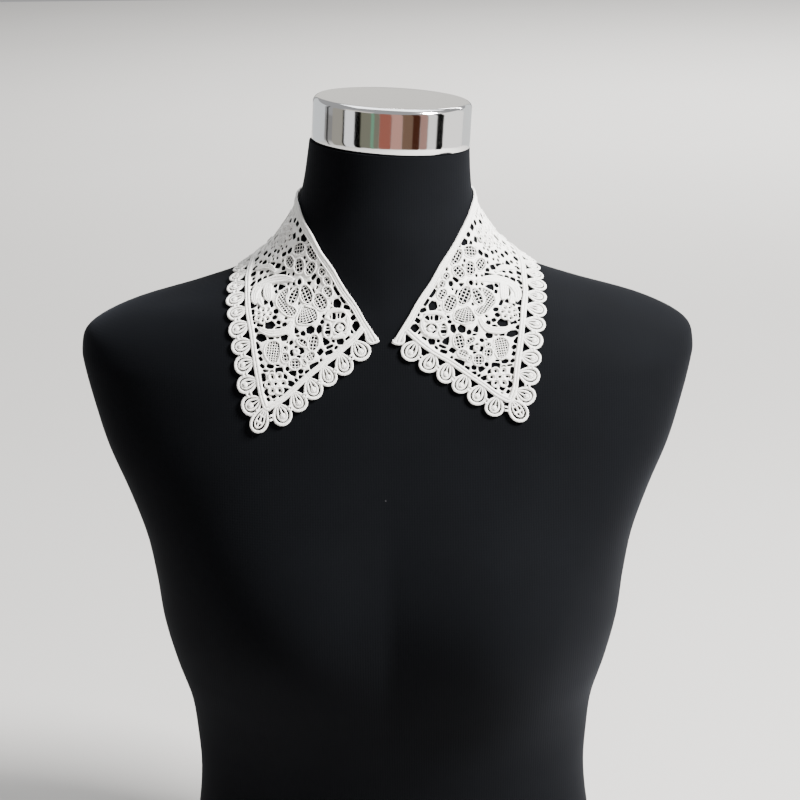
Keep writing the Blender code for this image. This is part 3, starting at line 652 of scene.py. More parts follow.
class Line:
    # a smooth flat line that is read by the length from its start
    lookAhead = 0.5

    def __init__(self, table, steps=12):
        self.points = smoothRows(table, steps)
        self.way = lengthsAlong(self.points)
        self.length = self.way[-1]

    def at(self, way):
        return np.array([np.interp(way, self.way, self.points[:, k]) for k in range(2)])

    def heading(self, way):
        step = self.at(min(way + self.lookAhead, self.length)) - self.at(max(way - self.lookAhead, 0))
        return math.degrees(math.atan2(step[1], step[0]))

    def beside(self, way, offset):
        # a point off the line, to the right of its way for a positive offset
        return self.at(way) + turned(self.heading(way) - 90) * offset

    def run(self, start, end, step, offset=0.0):
        count = max(2, int(round((end - start) / step)) + 1)
        return np.array([self.beside(way, offset) for way in np.linspace(start, end, count)])


def closedCurve(points, step, steps=12):
    # a smooth closed curve through the points, with a corner every step mm
    points = np.array(points, float)
    ring = smoothRows(np.vstack([points[-2:], points, points[:2]]), steps)
    ring = ring[steps * 2 : steps * (2 + len(points)) + 1]
    way = lengthsAlong(ring)
    wanted = np.linspace(0, way[-1], max(8, int(round(way[-1] / step))), endpoint=False)
    return np.stack([np.interp(wanted, way, ring[:, k]) for k in range(2)], 1)


gapRound = {
    # share of straight side in a cornered gap, its growth by corners, and the step of its outline in mm
    "straight": 0.72,
    "grown": {3: 1.12, 4: 1.16, 5: 1.08, 6: 1.04},
    "step": 0.55,
    # how much wider a gap is tried, the bar that must stay, and how far off a neighbour still counts
    "wider": (2.0, 1.7, 1.4, 1.2, 1.0, 0.8, 0.6, 0.4, 0.2),
    "bar": 0.56,
    "near": 14.0,
}


def ovalPoints(x, y, a, b, heading):
    # points given along and across a heading, round a middle
    along = turned(heading)
    return np.array([x, y]) + np.outer(a, along) + np.outer(b, (-along[1], along[0]))


def gapLoop(x, y, length, width, heading, corners=0):
    # a rounded gap: 0 corners is an oval, and 3 to 6 a soft polygon that points along its heading
    around = math.pi * (length + width) / 2
    turns = np.linspace(0, 2 * math.pi, max(9, int(around / gapRound["step"])), endpoint=False)
    reach = np.ones_like(turns)
    if corners:
        sector = 2 * math.pi / corners
        shift = 0 if corners == 3 else sector / 2
        within = (turns + shift) % sector - sector / 2
        flat = math.cos(sector / 2) / np.cos(within)
        reach = flat * gapRound["straight"] + (1 - gapRound["straight"])
        reach *= gapRound["grown"][corners]
    return ovalPoints(
        x, y, np.cos(turns) * reach * length / 2, np.sin(turns) * reach * width / 2, heading
    )


# the border: braid, petals and the front end of the neck band
braidBottom = [(12, 13), (19, 5.5), (28, -1.5), (38, -8), (48, -15.5), (57, -22.5), (66, -29.5), (74, -34)]
braidSide = [
    (74, -34), (77, -25), (79, -12.5), (80.5, -2), (82.5, 10), (85, 21), (87.3, 31), (91.7, 48),
    (94.6, 59.8), (97.8, 72), (102.2, 86.3), (108, 99.7), (113, 112.3), (117.3, 125), (120.8, 137.7),
    (123.4, 150.7), (125.2, 164), (126.1, 177.4), (125.8, 190.7), (124.4, 204.8),
]
braid = {
    "width": 1.85, "thick": 1.4, "lift": 0.25, "step": 1.1,
    "apart": 1.7, "from": 0.5, "round": 1.2, "bottomSpacing": 2.4, "sideSpacing": 2.6,
}
petal = {"reach": 8.2, "halfLength": 6.3, "narrowest": 4.6, "widest": 6.3, "share": 0.497, "drawn": 5.85}
cornerPetal = {"centre": (78.6, -40.8), "heading": -61.0, "halfLength": 8.0, "halfWidth": 6.0}
bottomPetals = {"count": 6, "first": 9.6, "pitch": 12.05, "lean": 14.0}
sidePetals = {"count": 21, "first": 7.3, "lean": -12.0, "uprightAt": 110.0}
bandEnd = [(3.6, 6.2), (2.7, 4.6), (4.4, 3.3), (7.4, 2.7), (9.6, 3.2), (11.2, 5.4), (11.4, 9.4)]

bodyEdge = {"step": 1.2, "out": 0.5, "from": 2.2, "seamPoints": 40}

bottomLine, sideLine, neckLine = Line(braidBottom), Line(braidSide), Line(gridFlat[:, 0])


def petalRow():
    # each petal from the band's end round to the centre back, with the root that it grows from
    found = []
    for k in range(bottomPetals["count"]):
        way = bottomPetals["first"] + k * bottomPetals["pitch"]
        heading = bottomLine.heading(way) - 90 + bottomPetals["lean"]
        found.append({"root": bottomLine.at(way), "onLine": True, "heading": heading})
    found.append({"root": np.array(braidSide[0]), "onLine": False, **cornerPetal})
    pitch = (sideLine.length - sidePetals["first"]) / (sidePetals["count"] - 0.5)
    for k in range(sidePetals["count"]):
        way = sidePetals["first"] + k * pitch
        lean = sidePetals["lean"] * max(0, 1 - way / sidePetals["uprightAt"])
        heading = sideLine.heading(way) - 90 + lean
        found.append({"root": sideLine.at(way), "onLine": True, "heading": heading})
    for each in found:
        if each["onLine"]:
            each["centre"] = each["root"] + turned(each["heading"]) * petal["reach"]
    for k, each in enumerate(found):
        if each["onLine"]:
            beside = [found[n] for n in (k - 1, k + 1) if 0 <= n < len(found)]
            near = [other["centre"] for other in beside if other["onLine"]]
            room = petal["share"] * min(np.linalg.norm(each["centre"] - other) for other in near)
            each["halfWidth"] = min(max(room, petal["narrowest"]), petal["widest"])
            each["halfLength"] = petal["halfLength"]
    return found


def bodyOutline():
    # the ground's edge: neckline from the back, the band's end, the braid and the centre back
    step, out = bodyEdge["step"], bodyEdge["out"]
    neck = [p for p in neckLine.run(0, neckLine.length, step)[::-1] if p[1] > bandEnd[0][1] + 2]
    end = smoothRows([neck[-1]] + bandEnd, 6)[1:-1]
    bottom = bottomLine.run(bodyEdge["from"], bottomLine.length, step, out)
    side = sideLine.run(0, sideLine.length, step, out)
    seam = np.linspace(side[-1], neck[0], bodyEdge["seamPoints"])[1:-1]
    return np.array([*neck, *end, *bottom, *side, *seam])


# the chart of the front, drawn in mm
frontGaps = [
    # x, y, length, width, heading, corners
    # beside the neck band
    (16.6, 13.7, 4.4, 3.9, 35, 5), (18.7, 18.8, 3.9, 3.0, -40, 4), (19.4, 22.6, 1.9, 1.3, 70, 0),
    (22.6, 25.3, 4.1, 2.3, 20, 4), (24.6, 30.2, 4.6, 1.7, 60, 4), (28.1, 36.3, 5.2, 1.9, 60, 4),
    (30.5, 40.6, 1.8, 1.3, 60, 0), (28.6, 27.9, 5.6, 4.2, 78, 6), (32.2, 24.8, 2.6, 1.9, 0, 4),
    (32.5, 28.3, 1.7, 1.2, 90, 0), (34.9, 22.3, 1.5, 1.3, 0, 0), (37.6, 20.9, 2.1, 1.8, 0, 0),
    (38.4, 17.5, 1.7, 1.4, 0, 0), (19.6, 10.6, 2.0, 1.0, 55, 0),
    # berry: upper lobe, middle, right lobe
    (24.9, 20.2, 2.5, 1.2, 110, 0), (27.8, 20.4, 3.5, 1.7, 92, 4), (30.6, 20.3, 3.4, 1.6, 88, 4),
    (33.0, 20.2, 2.6, 1.0, 78, 0), (25.1, 15.2, 2.4, 1.4, 30, 0), (29.3, 14.4, 2.5, 1.9, -20, 0),
    (29.2, 10.9, 2.3, 1.6, 0, 0), (24.9, 12.0, 2.7, 1.0, -50, 0), (34.8, 15.6, 1.9, 0.9, 0, 0),
    (34.6, 13.5, 3.1, 1.3, 0, 4), (34.6, 11.1, 3.2, 1.7, 0, 4), (34.6, 8.9, 1.9, 0.8, 0, 0),
    # lower ground
    (40.4, 13.1, 6.0, 4.1, 98, 5), (45.9, 12.9, 4.3, 4.1, -10, 5), (50.4, 10.9, 3.0, 2.4, 60, 5),
    (54.6, 12.8, 4.7, 2.7, 72, 3), (53.6, 9.4, 2.5, 0.9, 15, 0), (27.2, 5.0, 3.7, 3.3, -15, 5),
    (22.6, 6.9, 3.7, 1.6, -35, 4), (31.4, 5.3, 2.4, 2.3, 0, 5), (36.0, 5.2, 4.4, 2.8, 62, 3),
    (33.8, 1.9, 4.2, 1.2, -22, 4), (30.0, 1.2, 2.4, 1.4, -45, 0), (34.4, -1.4, 4.6, 2.3, -20, 4),
    (39.6, -0.8, 2.7, 2.0, -40, 4),
    # between the leaf nets and the flower
    (40.3, 43.2, 2.2, 1.1, 100, 0), (41.4, 39.6, 2.4, 1.4, -60, 4), (43.9, 37.7, 3.5, 1.4, 75, 4),
    (43.2, 46.3, 3.8, 1.8, -42, 4), (47.0, 43.0, 3.4, 3.0, 35, 3), (53.6, 44.9, 3.4, 2.7, 82, 6),
    # over and inside the long ribbon
    (66.8, 52.8, 7.8, 3.0, 12, 3), (75.4, 53.9, 3.1, 1.1, 12, 0), (80.1, 53.8, 3.1, 2.1, 72, 4),
    (84.1, 52.6, 3.9, 2.8, 68, 4), (88.8, 50.9, 3.7, 2.0, -70, 4), (87.7, 46.2, 3.3, 3.0, 20, 5),
    (66.8, 44.0, 4.8, 3.4, 180, 3), (71.4, 45.7, 2.1, 1.8, 0, 5), (70.2, 41.0, 3.5, 2.4, 65, 4),
    (87.3, 40.0, 6.7, 2.4, 73, 4), (84.6, 33.2, 4.4, 3.1, 60, 4), (84.0, 27.4, 4.1, 3.0, 55, 4),
    (82.6, 22.7, 2.5, 2.0, 60, 0), (82.0, 19.2, 2.4, 1.8, 40, 4), (79.1, 41.5, 5.2, 0.9, 80, 0),
    (76.6, 34.1, 3.4, 1.7, 75, 3), (72.3, 32.4, 5.0, 1.8, 65, 4), (80.0, 30.8, 2.4, 2.0, -40, 4),
    # round the first rosette
    (68.4, 26.8, 2.1, 1.5, 50, 0), (68.9, 22.6, 3.7, 3.5, 80, 6), (71.6, 17.2, 5.0, 4.0, 0, 5),
    (66.3, 18.9, 2.6, 2.2, 30, 4), (62.6, 17.2, 2.5, 2.1, 0, 5), (66.6, 15.2, 3.2, 0.9, -8, 0),
    (78.2, 17.6, 3.2, 1.0, 12, 4), (80.7, 14.3, 3.1, 2.3, 50, 4),
    # under the lower ribbon
    (77.0, 9.7, 7.2, 4.4, 18, 5), (62.4, 8.9, 4.0, 3.4, -15, 5), (66.8, 9.0, 2.3, 0.9, 0, 0),
    (70.7, 9.1, 2.9, 1.3, 0, 4), (79.3, 5.1, 4.2, 2.1, 60, 4), (77.6, 0.6, 2.9, 2.1, 45, 4),
    # round the second flower
    (51.8, 0.7, 2.4, 1.9, 70, 4), (57.4, -0.4, 2.5, 1.3, 90, 4), (53.4, -2.9, 1.9, 1.0, -10, 0),
    (54.9, 2.9, 2.0, 1.5, 0, 0), (57.8, 5.6, 2.0, 1.4, -50, 0), (60.4, 5.9, 1.7, 1.2, -40, 0),
    (77.2, -3.5, 3.2, 2.3, 62, 4), (76.3, -8.0, 2.7, 1.7, 40, 4), (74.4, -10.9, 4.0, 1.6, 8, 4),
    (76.0, -14.6, 3.6, 1.9, 82, 4), (74.9, -19.2, 1.9, 1.4, 50, 0), (43.2, -9.0, 5.5, 2.7, -20, 4),
    (48.0, -12.4, 3.5, 2.4, -20, 4), (52.3, -12.1, 2.1, 1.6, -10, 0), (56.9, -12.9, 3.7, 2.8, 10, 3),
    (51.6, -15.7, 4.2, 2.0, 12, 4), (55.1, -17.3, 2.5, 1.2, 35, 0), (58.5, -19.1, 4.5, 3.0, 22, 4),
    (61.6, -23.4, 3.3, 2.5, 20, 4), (60.3, -10.2, 1.9, 1.4, 90, 0), (65.6, -11.0, 3.9, 2.3, -8, 4),
    (70.4, -11.9, 2.2, 1.5, 0, 0), (62.3, -14.9, 2.2, 1.2, 50, 0), (66.5, -7.9, 2.7, 0.9, 5, 0),
    (71.4, -8.3, 3.1, 1.1, 10, 0), (69.3, -25.9, 2.5, 2.4, 60, 4), (73.4, -23.6, 2.8, 2.2, 45, 4),
    (72.6, -28.0, 2.8, 2.0, 55, 4), (68.8, -29.0, 1.8, 1.4, 60, 0), (64.7, -26.2, 2.0, 1.3, 0, 0),
    # above the flower
    (48.0, 71.9, 4.6, 3.7, 0, 5), (53.4, 72.4, 4.1, 2.6, 80, 4), (44.2, 68.2, 2.5, 2.1, 10, 4),
    (56.9, 69.8, 2.1, 1.8, 0, 0), (61.2, 67.7, 2.9, 2.0, -30, 4), (66.3, 67.0, 2.8, 2.0, 0, 4),
    (66.0, 56.9, 2.2, 1.7, 10, 4), (70.8, 59.9, 3.2, 2.1, 25, 4), (37.0, 52.3, 2.3, 0.9, 100, 0),
    (57.6, 76.4, 3.0, 1.7, 80, 4), (51.2, 78.0, 2.2, 1.6, 60, 0), (54.6, 84.2, 3.3, 2.6, 60, 4),
    (58.4, 88.6, 2.2, 1.5, 60, 0), (61.9, 76.9, 2.2, 1.7, 30, 0), (75.8, 63.1, 4.2, 1.3, 20, 4),
    (79.6, 65.4, 2.5, 1.4, 60, 0), (84.0, 67.0, 3.4, 2.3, 60, 4), (88.3, 69.7, 3.2, 2.2, 60, 4),
    (91.6, 65.4, 2.2, 1.9, 0, 0), (91.0, 60.0, 3.0, 2.2, 70, 4), (84.5, 59.3, 2.0, 1.5, 20, 0),
    (79.0, 58.6, 2.1, 1.2, 10, 0), (75.8, 58.2, 2.4, 1.2, -10, 0), (89.6, 55.6, 2.5, 1.6, 70, 4),
    (72.0, 71.4, 2.4, 1.5, 60, 0), (75.6, 73.6, 3.8, 2.6, 45, 4), (93.8, 75.0, 3.6, 2.4, 60, 4),
    (86.2, 76.6, 3.2, 1.9, 55, 4), (81.0, 72.4, 2.4, 1.5, 45, 0), (95.6, 82.0, 3.0, 2.0, 70, 4),
]
nets = [
    # ovals cut out and filled with net: x, y, length, width, heading, thread pitch
    (36.9, 47.8, 4.8, 4.0, 60, 1.55), (34.3, 42.3, 6.0, 4.0, 62, 1.55), (34.6, 35.8, 7.2, 5.6, 60, 1.6),
    (39.6, 30.1, 9.6, 6.2, 62, 1.6), (48.9, 35.9, 11.4, 6.0, 66, 1.9), (57.4, 35.7, 11.2, 5.4, -68, 1.8),
    (44.9, 51.6, 9.0, 6.4, -40, 1.75), (53.2, 55.0, 9.2, 7.0, 88, 1.8), (42.9, 60.9, 11.5, 6.4, 62, 1.75),
    (52.8, 66.2, 7.4, 5.4, 10, 1.7), (60.6, 59.4, 9.4, 6.6, 55, 1.6), (43.9, 5.0, 9.4, 6.4, 100, 1.7),
    (50.7, 5.2, 6.8, 3.2, 36, 1.6), (46.0, -3.2, 6.0, 4.4, -30, 1.3), (49.9, -6.3, 3.8, 2.4, 60, 1.4),
    (55.6, -7.2, 4.4, 4.2, 90, 1.6), (61.4, -3.0, 5.8, 4.2, 80, 1.7), (61.4, 2.2, 3.4, 3.0, -40, 1.5),
]
netShapes = {
    # nets whose outline isn't an oval: the outline, and the thread pitch or the fan's middle
    "crescent": {
        "outline": [
            (61.6, 42.0), (65.6, 40.4), (68.2, 36.6), (68.0, 31.8), (65.0, 27.4), (62.0, 24.2),
            (57.8, 22.4), (55.4, 23.8), (55.6, 27.0), (59.0, 28.6), (61.9, 31.4), (62.9, 35.2),
            (61.4, 39.0),
        ],
        "pitch": 1.75, "heading": -35,
    },
    "fan": {
        "outline": [
            (42.2, 18.8), (46.0, 17.0), (50.0, 16.9), (53.8, 18.2), (53.8, 21.6), (52.2, 25.4),
            (50.6, 28.4), (47.4, 26.8), (43.8, 25.6), (42.0, 22.4),
        ],
        "pitch": 1.6, "fanFrom": (52.0, 36.0),
    },
    "lowerLeaf": {
        "outline": [
            (66.0, 5.6), (69.0, 6.9), (72.4, 6.0), (74.2, 2.6), (73.6, -2.0), (71.0, -5.8), (68.0, -6.4),
            (66.0, -3.4), (65.2, 1.2),
        ],
        "pitch": 1.55, "heading": 8,
    },
}
ribbons = [
    # satin ribbons: middle line, whole width, strands laid side by side, share of the width at each end
    # over the flower, inside it, and under it
    ([(57.6, 46.6), (61.5, 48.6), (66.0, 49.6), (72.0, 50.5), (78.4, 49.8), (83.0, 46.9), (84.7, 42.0),
      (84.2, 37.0), (82.2, 33.6)], 5.6, 3, (0.35, 0.45)),
    ([(75.9, 48.0), (76.2, 43.5), (75.4, 38.8), (73.8, 34.6)], 5.8, 4, (0.55, 0.35)),
    ([(57.2, 19.6), (59.0, 15.6), (62.6, 12.8), (67.4, 12.0), (72.6, 12.3), (78.4, 15.2)],
     4.2, 3, (0.5, 0.5)),
    ([(80.6, 38.0), (80.2, 34.6), (78.0, 31.4)], 3.0, 2, (0.6, 0.5)),
    ([(72.0, 56.0), (77.0, 61.0), (83.0, 63.0), (90.0, 63.2)], 3.4, 3, (0.5, 0.5)),
    # round the berry
    ([(22.6, 20.4), (21.6, 16.6), (22.0, 12.8), (24.0, 9.4)], 2.6, 2, (0.5, 0.6)),
    ([(24.0, 9.0), (28.4, 7.9), (32.0, 7.6)], 2.0, 1, (0.6, 0.6)),
    ([(23.4, 22.6), (28.4, 23.9), (33.6, 23.2), (36.2, 19.2)], 1.9, 1, (0.6, 0.6)),
]
outlines = [
    # cords that run round a form: closed ovals as x, y, length, width, heading, and the cord's width
    (28.9, 20.3, 12.2, 5.8, -2, 1.3), (27.2, 13.1, 8.6, 8.0, 0, 1.3), (34.6, 12.2, 9.6, 5.2, 90, 1.3),
    (27.2, 13.1, 3.2, 2.8, 0, 1.8), (53.6, 44.9, 5.4, 4.8, 82, 1.5), (54.6, 0.2, 2.6, 2.4, 0, 1.8),
]
rosettes = [
    # x, y, reach, loops, first loop's heading
    (76.2, 24.5, 6.4, 7, 20), (67.7, -18.6, 7.2, 6, 0), (66.8, 82.0, 8.2, 7, 10),
]


ground = {
    # a thin wall, rounded like thread towards each gap
    "edgeStep": 0.6, "thick": 0.75, "round": 0.7, "edgeLow": 0.14, "edgeHigh": 0.34,
    # rings of points beside each edge, and a field of points between them
    "rings": (0.28, 0.7), "apart": 0.3, "ringClear": 0.8, "fill": 1.7, "fillRow": 0.87, "fillClear": 1.25,
    "weld": 1e-5,
}


def insideLoop(points, loop):
    low, high = loop.min(0), loop.max(0)
    near = np.flatnonzero(((points > low) & (points < high)).all(1))
    x, y = points[near].T
    odd = np.zeros(len(near), bool)
    for (ax, ay), (bx, by) in zip(loop, np.roll(loop, -1, axis=0)):
        if ay != by:
            odd ^= ((ay > y) != (by > y)) & (x < ax + (y - ay) * (bx - ax) / (by - ay))
    result = np.zeros(len(points), bool)
    result[near] = odd
    return result


def onCloth(points, edge, gaps):
    kept = insideLoop(points, edge)
    for gap in gaps:
        kept &= ~insideLoop(points, gap)
    return kept


def nearest(points, targets, batch=2500):
    # each point's distance to the nearest target
    found = np.empty(len(points))
    squares = (targets**2).sum(1)
    for start in range(0, len(points), batch):
        some = points[start : start + batch]
        away = (some**2).sum(1)[:, None] + squares - 2 * some @ targets.T
        found[start : start + batch] = np.sqrt(np.maximum(away.min(1), 0))
    return found


def thinned(points, apart):
    # one point in each small square
    _, first = np.unique(np.round(points / apart).astype(int), axis=0, return_index=True)
    return points[np.sort(first)]


def edgeNormals(loop):
    along = np.roll(loop, -1, axis=0) - np.roll(loop, 1, axis=0)
    return np.stack([-along[:, 1], along[:, 0]], 1) / np.linalg.norm(along, axis=1, keepdims=True)


def groundMesh(edge, gaps):
    # flat points, lift and faces of the cut ground
    loops = [edge] + gaps
    rim = np.vstack(loops)
    inner = []
    for offset in ground["rings"]:
        for loop in loops:
            normals = edgeNormals(loop)
            some = slice(None) if offset == ground["rings"][0] else slice(None, None, 2)
            inner += [(loop + side * normals * offset)[some] for side in (1, -1)]
    inner = thinned(np.vstack(inner), ground["apart"])
    inner = inner[nearest(inner, rim) > ground["rings"][0] * ground["ringClear"]]
    low, high = edge.min(0), edge.max(0)
    across = np.arange(low[0], high[0], ground["fill"])
    upward = np.arange(low[1], high[1], ground["fill"] * ground["fillRow"])
    fill = np.array([(x + ground["fill"] / 2 * (k % 2), y) for k, y in enumerate(upward) for x in across])
    fill = fill[nearest(fill, rim) > ground["fillClear"]]
    inner = np.vstack([inner, fill])
    inner = inner[onCloth(inner, edge, gaps)]
    corners, edges = [], []
    for loop in loops:
        start = len(corners)
        corners += [Vector(p) for p in loop]
        edges += [(start + k, start + (k + 1) % len(loop)) for k in range(len(loop))]
    corners += [Vector(p) for p in inner]
    made = delaunay_2d_cdt(corners, edges, [], 0, ground["weld"])
    flat = np.array([tuple(p) for p in made[0]])
    triangles = np.array(made[2])
    kept = triangles[onCloth(flat[triangles].mean(1), edge, gaps)]
    used = np.unique(kept)
    order = np.full(len(flat), -1)
    order[used] = np.arange(len(used))
    flat, kept = flat[used], order[kept]
    sides = {(a, b) for t in kept.tolist() for a, b in ((t[0], t[1]), (t[1], t[2]), (t[2], t[0]))}
    border = [(a, b) for a, b in sides if (b, a) not in sides]
    away = nearest(flat, rim)
    away[np.unique(border)] = 0
    share = np.sqrt(1 - (1 - np.clip(away / ground["round"], 0, 1)) ** 2)
    top = ground["edgeHigh"] + (ground["thick"] - ground["edgeHigh"]) * share
    bottom = ground["edgeLow"] * (1 - share)
    count = len(flat)
    faces = [tuple(k + count for k in t) for t in kept.tolist()] + [tuple(t[::-1]) for t in kept.tolist()]
    faces += [(a, b, b + count, a + count) for a, b in sorted(border)]
    return np.vstack([flat, flat]), np.concatenate([bottom, top]), faces


def setFacts(mesh, name, values):
    # one number for each point of the mesh
    attribute = mesh.attributes.new(name, "FLOAT", "POINT")
    attribute.data.foreach_set("value", np.array(values, np.float32))


class Basket:
    # runs of thread for a node tree to sweep, with the half width, thickness and step of each point

    def __init__(self):
        self.points, self.edges, self.facts = [], [], []

    def add(self, points, width, thick, lift, step, closed=False):
        start, count = len(self.points), len(points)
        self.points += [(x, y, lift) for x, y in points]
        self.facts += [(w / 2, thick, lift, step) for w in np.broadcast_to(width, count)]
        self.edges += [(start + k, start + k + 1) for k in range(count - 1)]
        if closed:
            self.edges.append((start + count - 1, start))

    def guide(self, name):
        mesh = bpy.data.meshes.new(name)
        mesh.from_pydata(self.points, self.edges, [])
        for fact, values in zip(("halfWidth", "thick", "lift", "step"), np.array(self.facts).T):
            setFacts(mesh, fact, values)
        made = bpy.data.objects.new(name, mesh)
        bpy.context.scene.collection.objects.link(made)
        return made


def named(tree, name):
    node = addNode(tree, "GeometryNodeInputNamedAttribute", {"Name": name}, data_type="FLOAT")
    return node.outputs["Attribute"]


def stored(tree, geometry, name, value):
    values = {"Geometry": geometry, "Name": name, "Value": value}
    node = addNode(tree, "GeometryNodeStoreNamedAttribute", values, data_type="FLOAT", domain="POINT")
    return node.outputs["Geometry"]


def pointParts(tree):
    place = addNode(tree, "GeometryNodeInputPosition").outputs[0]
    return addNode(tree, "ShaderNodeSeparateXYZ", {0: place}).outputs


def fromParts(tree, x, y, z):
    return addNode(tree, "ShaderNodeCombineXYZ", {0: x, 1: y, 2: z}).outputs[0]


def newTree(name, inputs):
    # inputs: name -> (kind of socket, value); the tree takes and gives geometry
    tree = bpy.data.node_groups.new(name, "GeometryNodeTree")
    tree.interface.new_socket("Geometry", in_out="INPUT", socket_type="NodeSocketGeometry")
    for label, (kind, value) in inputs.items():
        socket = tree.interface.new_socket(label, in_out="INPUT", socket_type=kind)
        if value is not None:
            socket.default_value = value
    tree.interface.new_socket("Geometry", in_out="OUTPUT", socket_type="NodeSocketGeometry")
    return tree, tree.nodes.new("NodeGroupInput").outputs, tree.nodes.new("NodeGroupOutput").inputs


sweepInputs = {
    "Sides": ("NodeSocketInt", 8), "Squareness": ("NodeSocketFloat", 0.8),
    "Material": ("NodeSocketMaterial", None),
}
curveFineness = 8


def sweep(tree, geometry, sides, squareness):
    # edges -> smooth curves -> cords with a softly squared section, flattened to their thickness
    curve = addNode(tree, "GeometryNodeMeshToCurve", {"Mesh": geometry}).outputs["Curve"]
    smooth = addNode(tree, "GeometryNodeCurveSplineType", {"Curve": curve}, spline_type="CATMULL_ROM")
    values = {"Geometry": smooth.outputs["Curve"], "Resolution": curveFineness}
    finer = addNode(tree, "GeometryNodeSetSplineResolution", values).outputs["Geometry"]
    values = {"Curve": finer, "Length": named(tree, "step")}
    even = addNode(tree, "GeometryNodeResampleCurve", values, mode="LENGTH").outputs["Curve"]
    way = addNode(tree, "GeometryNodeSplineParameter").outputs["Length"]
    measured = stored(tree, even, "along", way)
    upright = addNode(tree, "GeometryNodeSetCurveNormal", {"Curve": measured}, mode="Z_UP")
    circle = addNode(tree, "GeometryNodeCurvePrimitiveCircle", {"Resolution": sides, "Radius": 1.0})
    squared = []
    for part in list(pointParts(tree))[:2]:
        grown = mathOf(tree, "POWER", mathOf(tree, "ABSOLUTE", part), squareness)
        squared.append(mathOf(tree, "MULTIPLY", grown, mathOf(tree, "SIGN", part)))
    values = {"Geometry": circle.outputs["Curve"], "Position": fromParts(tree, *squared, 0.0)}
    section = addNode(tree, "GeometryNodeSetPosition", values).outputs["Geometry"]
    turn = addNode(tree, "GeometryNodeSplineParameter").outputs["Factor"]
    values = {
        "Curve": upright.outputs["Curve"], "Profile Curve": stored(tree, section, "across", turn),
        "Fill Caps": True, "Scale": named(tree, "halfWidth"),
    }
    tube = addNode(tree, "GeometryNodeCurveToMesh", values).outputs["Mesh"]
    place = pointParts(tree)
    above = mathOf(tree, "SUBTRACT", place[2], named(tree, "lift"))
    unit = mathOf(tree, "DIVIDE", above, named(tree, "halfWidth"))
    half = mathOf(tree, "MULTIPLY", named(tree, "thick"), 0.5)
    raised = mathOf(tree, "MULTIPLY", mathOf(tree, "ADD", unit, 1.0), half)
    height = mathOf(tree, "ADD", raised, named(tree, "lift"))
    values = {"Geometry": tube, "Position": fromParts(tree, place[0], place[1], height)}
    return addNode(tree, "GeometryNodeSetPosition", values).outputs["Geometry"]


def closeTree(tree, geometry, given, output):
    swept = sweep(tree, geometry, given["Sides"], given["Squareness"])
    real = addNode(tree, "GeometryNodeRealizeInstances", {"Geometry": swept}).outputs["Geometry"]
    values = {"Geometry": real, "Material": given["Material"]}
    dressed = addNode(tree, "GeometryNodeSetMaterial", values).outputs["Geometry"]
    tree.links.new(dressed, output["Geometry"])
    return tree


def cordTree():
    tree, given, output = newTree("sweptCords", sweepInputs)
    return closeTree(tree, given["Geometry"], given, output)


def petalTree():
    # one petal's runs set on each point, turned to its heading and stretched to its size, then swept
    tree, given, output = newTree("petalRow", {**sweepInputs, "Petal": ("NodeSocketObject", None)})
    pattern = addNode(tree, "GeometryNodeObjectInfo", {"Object": given["Petal"]}).outputs["Geometry"]
    values = {
        "Points": given["Geometry"], "Instance": pattern,
        "Rotation": fromParts(tree, 0.0, 0.0, named(tree, "heading")),
        "Scale": fromParts(tree, named(tree, "longer"), named(tree, "wider"), 1.0),
    }
    row = addNode(tree, "GeometryNodeInstanceOnPoints", values).outputs["Instances"]
    runs = addNode(tree, "GeometryNodeRealizeInstances", {"Geometry": row}).outputs["Geometry"]
    return closeTree(tree, runs, given, output)


def plainMesh(guide, tree, values):
    # runs the tree on the guide and gives its points, faces and the place along and across each cord
    modifier = guide.modifiers.new(tree.name, "NODES")
    modifier.node_group = tree
    for item in tree.interface.items_tree:
        if item.in_out == "INPUT" and item.name in values:
            modifier[item.identifier] = values[item.name]
    view = bpy.context.evaluated_depsgraph_get()
    mesh = bpy.data.meshes.new_from_object(guide.evaluated_get(view))
    count = len(mesh.vertices)
    points = np.empty(count * 3, np.float32)
    mesh.vertices.foreach_get("co", points)
    threads = np.zeros((count, 2), np.float32)
    for k, name in enumerate(("along", "across")):
        found = mesh.attributes.get(name)
        if found and len(found.data) == count:
            column = np.zeros(count, np.float32)
            found.data.foreach_get("value", column)
            threads[:, k] = column
    faces = [tuple(p.vertices) for p in mesh.polygons]
    guide.modifiers.remove(modifier)
    bpy.data.objects.remove(guide)
    bpy.data.meshes.remove(mesh)
    return points.reshape(-1, 3).astype(float), threads, faces


# the cords of one half, all in mm
band = {
    # each cord's offset from the neck edge, where it starts, its width, thickness, lift and step
    "edge": (0.75, 6.5, 1.5, 1.35, 0.1, 1.2),
    "middle": (2.4, 6.2, 2.4, 1.1475, 0.1, 1.6),
    "inner": (3.85, 9.0, 1.0, 1.35, 0.15, 1.6),
    # the cords spread and thicken at the front end
    "flareFrom": 3.0, "flareFor": 15.0, "flareBy": 1.45, "flareCurve": 1.5,
    "beginFor": 4.0, "beginShare": 0.35,
    # points lie close at first, then at even steps, and end just short of the centre back
    "closeFor": 20.0, "closePoints": 10, "step": 3.0, "short": 0.05,
}
bandTurn = [(3.75, 6.3), (3.6, 5.0), (5.0, 4.05), (7.4, 3.5), (9.2, 4.0), (10.4, 5.9), (10.7, 8.6)]
netThread = {
    "width": 0.5, "thick": 0.5, "lift": 0.2, "cross": 0.12, "step": 1.3, "into": 0.5, "wider": 1.28,
    "shortest": 0.6, "spacing": 1.6, "waver": 0.06,
    # where the first and last threads lie, as shares of the pitch in from the outline
    "first": 0.5, "last": 0.2,
}
fanThread = {"rayPoints": 40, "rayShown": 6, "arcPoints": 50, "every": 4, "firstArc": 0.6}
outlineCord = {"width": 1.15, "thick": 1.1, "lift": 0.2, "step": 0.9, "out": 0.55, "points": 14}
